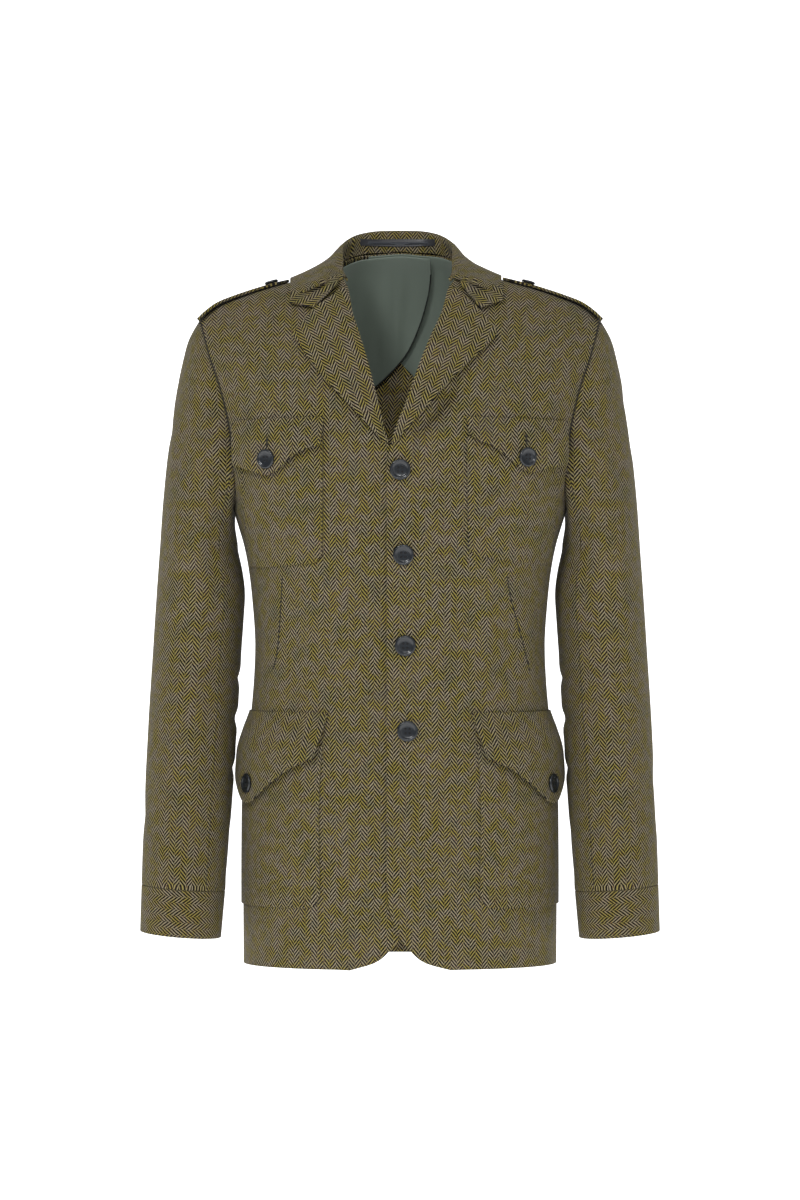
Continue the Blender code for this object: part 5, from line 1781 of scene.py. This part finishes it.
def armhole_seam_shade(front, side):
    """The line of painted shade just inside the armhole of a front, as the front shows it."""
    edge = front.outer[:, -1][:, [0, 2]]
    edge = edge[edge[:, 1] > ARMHOLE_SEAM_LOW]
    return ribbon(edge - np.array((side * ARMHOLE_SEAM_INSET, 0.0)), ARMHOLE_SEAM_WIDTH)


def dress_seams(fronts, seam):
    for side, name in SIDES:
        front = fronts[side]
        dart = ribbon(mirrored(rounded(DARTS[side]), side), DART_WIDTH)
        for kind, outline in (("armhole_seam_shade_", armhole_seam_shade(front, side)), ("dart_", dart)):
            trim(kind + name, front, outline, front_view(front.outer), LINE_LIFT, LINE_WALL, seam)


# Stage
BACKDROP = (0.92, 0.92, 0.92)
PAPER_GLOW = 0.90
# Distance behind, and height, down the middle of the paper
PAPER = ((-3.0, -1.05), (4.6, -1.05), (5.4, -0.95), (5.85, -0.6), (6.0, 0.0), (6.0, 5.0))
PAPER_HALF = 7.0
CAMERA_DISTANCE = 4.5
CAMERA_HEIGHT = -0.3515
LENS = 129.8
LIGHTS = (
    # name, place, target, size, power
    ("key", (-1.5, -3.2, 2.1), (0.0, 0.0, -0.35), (0.8, 0.8), 62.0),
    ("front", (0.25, -3.8, 1.5), (0.0, 0.0, -0.25), (0.8, 0.6), 24.0),
    ("fill", (2.2, -3.0, 0.6), (0.0, 0.0, -0.4), (2.4, 2.4), 14.0),
    ("above", (0.0, -0.4, 2.6), (0.0, 0.2, 0.0), (3.0, 2.0), 14.0),
)
ROOM_LIGHT = 0.28


def area_light(name, place, target, size, power):
    light = bpy.data.lights.new(name, "AREA")
    light.shape = "RECTANGLE"
    light.size, light.size_y = size
    light.energy = power
    item = add_object(name, light)
    item.location = place
    item.rotation_euler = (Vector(target) - Vector(place)).to_track_quat("-Z", "Y").to_euler()


def dress_stage():
    bpy.context.scene.view_settings.view_transform = "Standard"
    paper = plain_material("paper", BACKDROP, 0.9, glow=PAPER_GLOW)
    points, faces = [], []
    for y, z in PAPER:
        points += [(-PAPER_HALF, y, z), (PAPER_HALF, y, z)]
    for k in range(len(PAPER) - 1):
        faces.append((2 * k, 2 * k + 1, 2 * k + 3, 2 * k + 2))
    mesh = bpy.data.meshes.new("backdrop")
    mesh.from_pydata(points, [], faces)
    mesh.materials.append(paper)
    mesh.shade_smooth()
    backdrop = add_object("backdrop", mesh)
    for row in LIGHTS:
        area_light(*row)
    world = bpy.data.worlds.new("studio")
    world.use_nodes = True
    sky = world.node_tree.nodes["Background"]
    sky.inputs["Color"].default_value = (1.0, 1.0, 1.0, 1.0)
    sky.inputs["Strength"].default_value = ROOM_LIGHT
    bpy.context.scene.world = world


def place_camera():
    lens = bpy.data.cameras.new("camera")
    lens.lens = LENS
    camera = add_object("camera", lens)
    camera.location = (0.0, -CAMERA_DISTANCE, CAMERA_HEIGHT)
    camera.rotation_euler = (math.radians(90.0), 0.0, 0.0)
    bpy.context.scene.camera = camera


def dress():
    tweed = tweed_material("tweed")
    satin = satin_material("satin", (0.195, 0.240, 0.200), 0.42)
    navy = satin_material("navy_satin", (0.006, 0.007, 0.011), 0.42)
    middle = satin_material("navy_ribbon", (0.012, 0.016, 0.024), 0.50)
    piping = plain_material("piping", (0.012, 0.014, 0.012), 0.6)
    # dark lines for darts and buttonholes, and painted shade along the armhole seams
    seam = plain_material("seam", (0.020, 0.017, 0.010), 0.9)
    horn = plain_material("horn", (0.006, 0.009, 0.013), 0.28, coat=0.3)
    # near black for the button holes: painted shade
    hole_shade = plain_material("hole_shade", (0.003, 0.003, 0.004), 0.8)
    fronts, smooth_fronts, back = dress_body(tweed)
    dress_lapels(smooth_fronts, tweed)
    collar = dress_collar(tweed, smooth_fronts)
    dress_loop(collar, navy, middle)
    # painted light: a brighter copy of the tweed for the shaded inside of the back
    dress_inside(back, tweed_material("tweed_inside_painted_light", INSIDE_PAINTED_LIGHT))
    dress_lining(back, satin, piping)
    dress_pockets(fronts, back, (tweed, seam, horn, hole_shade))
    dress_straps(tweed, horn, hole_shade)
    view = front_view(fronts[LEFT].outer)
    for number, spot in enumerate(FRONT_BUTTONS, start=1):
        dress_button("front_button_%d" % number, fronts[LEFT], view, spot, FRONT_BUTTON_RADIUS,
                     BUTTON_HEIGHT, 0.0, horn, hole_shade)
    dress_seams(fronts, seam)
    dress_stage()
    place_camera()


dress()
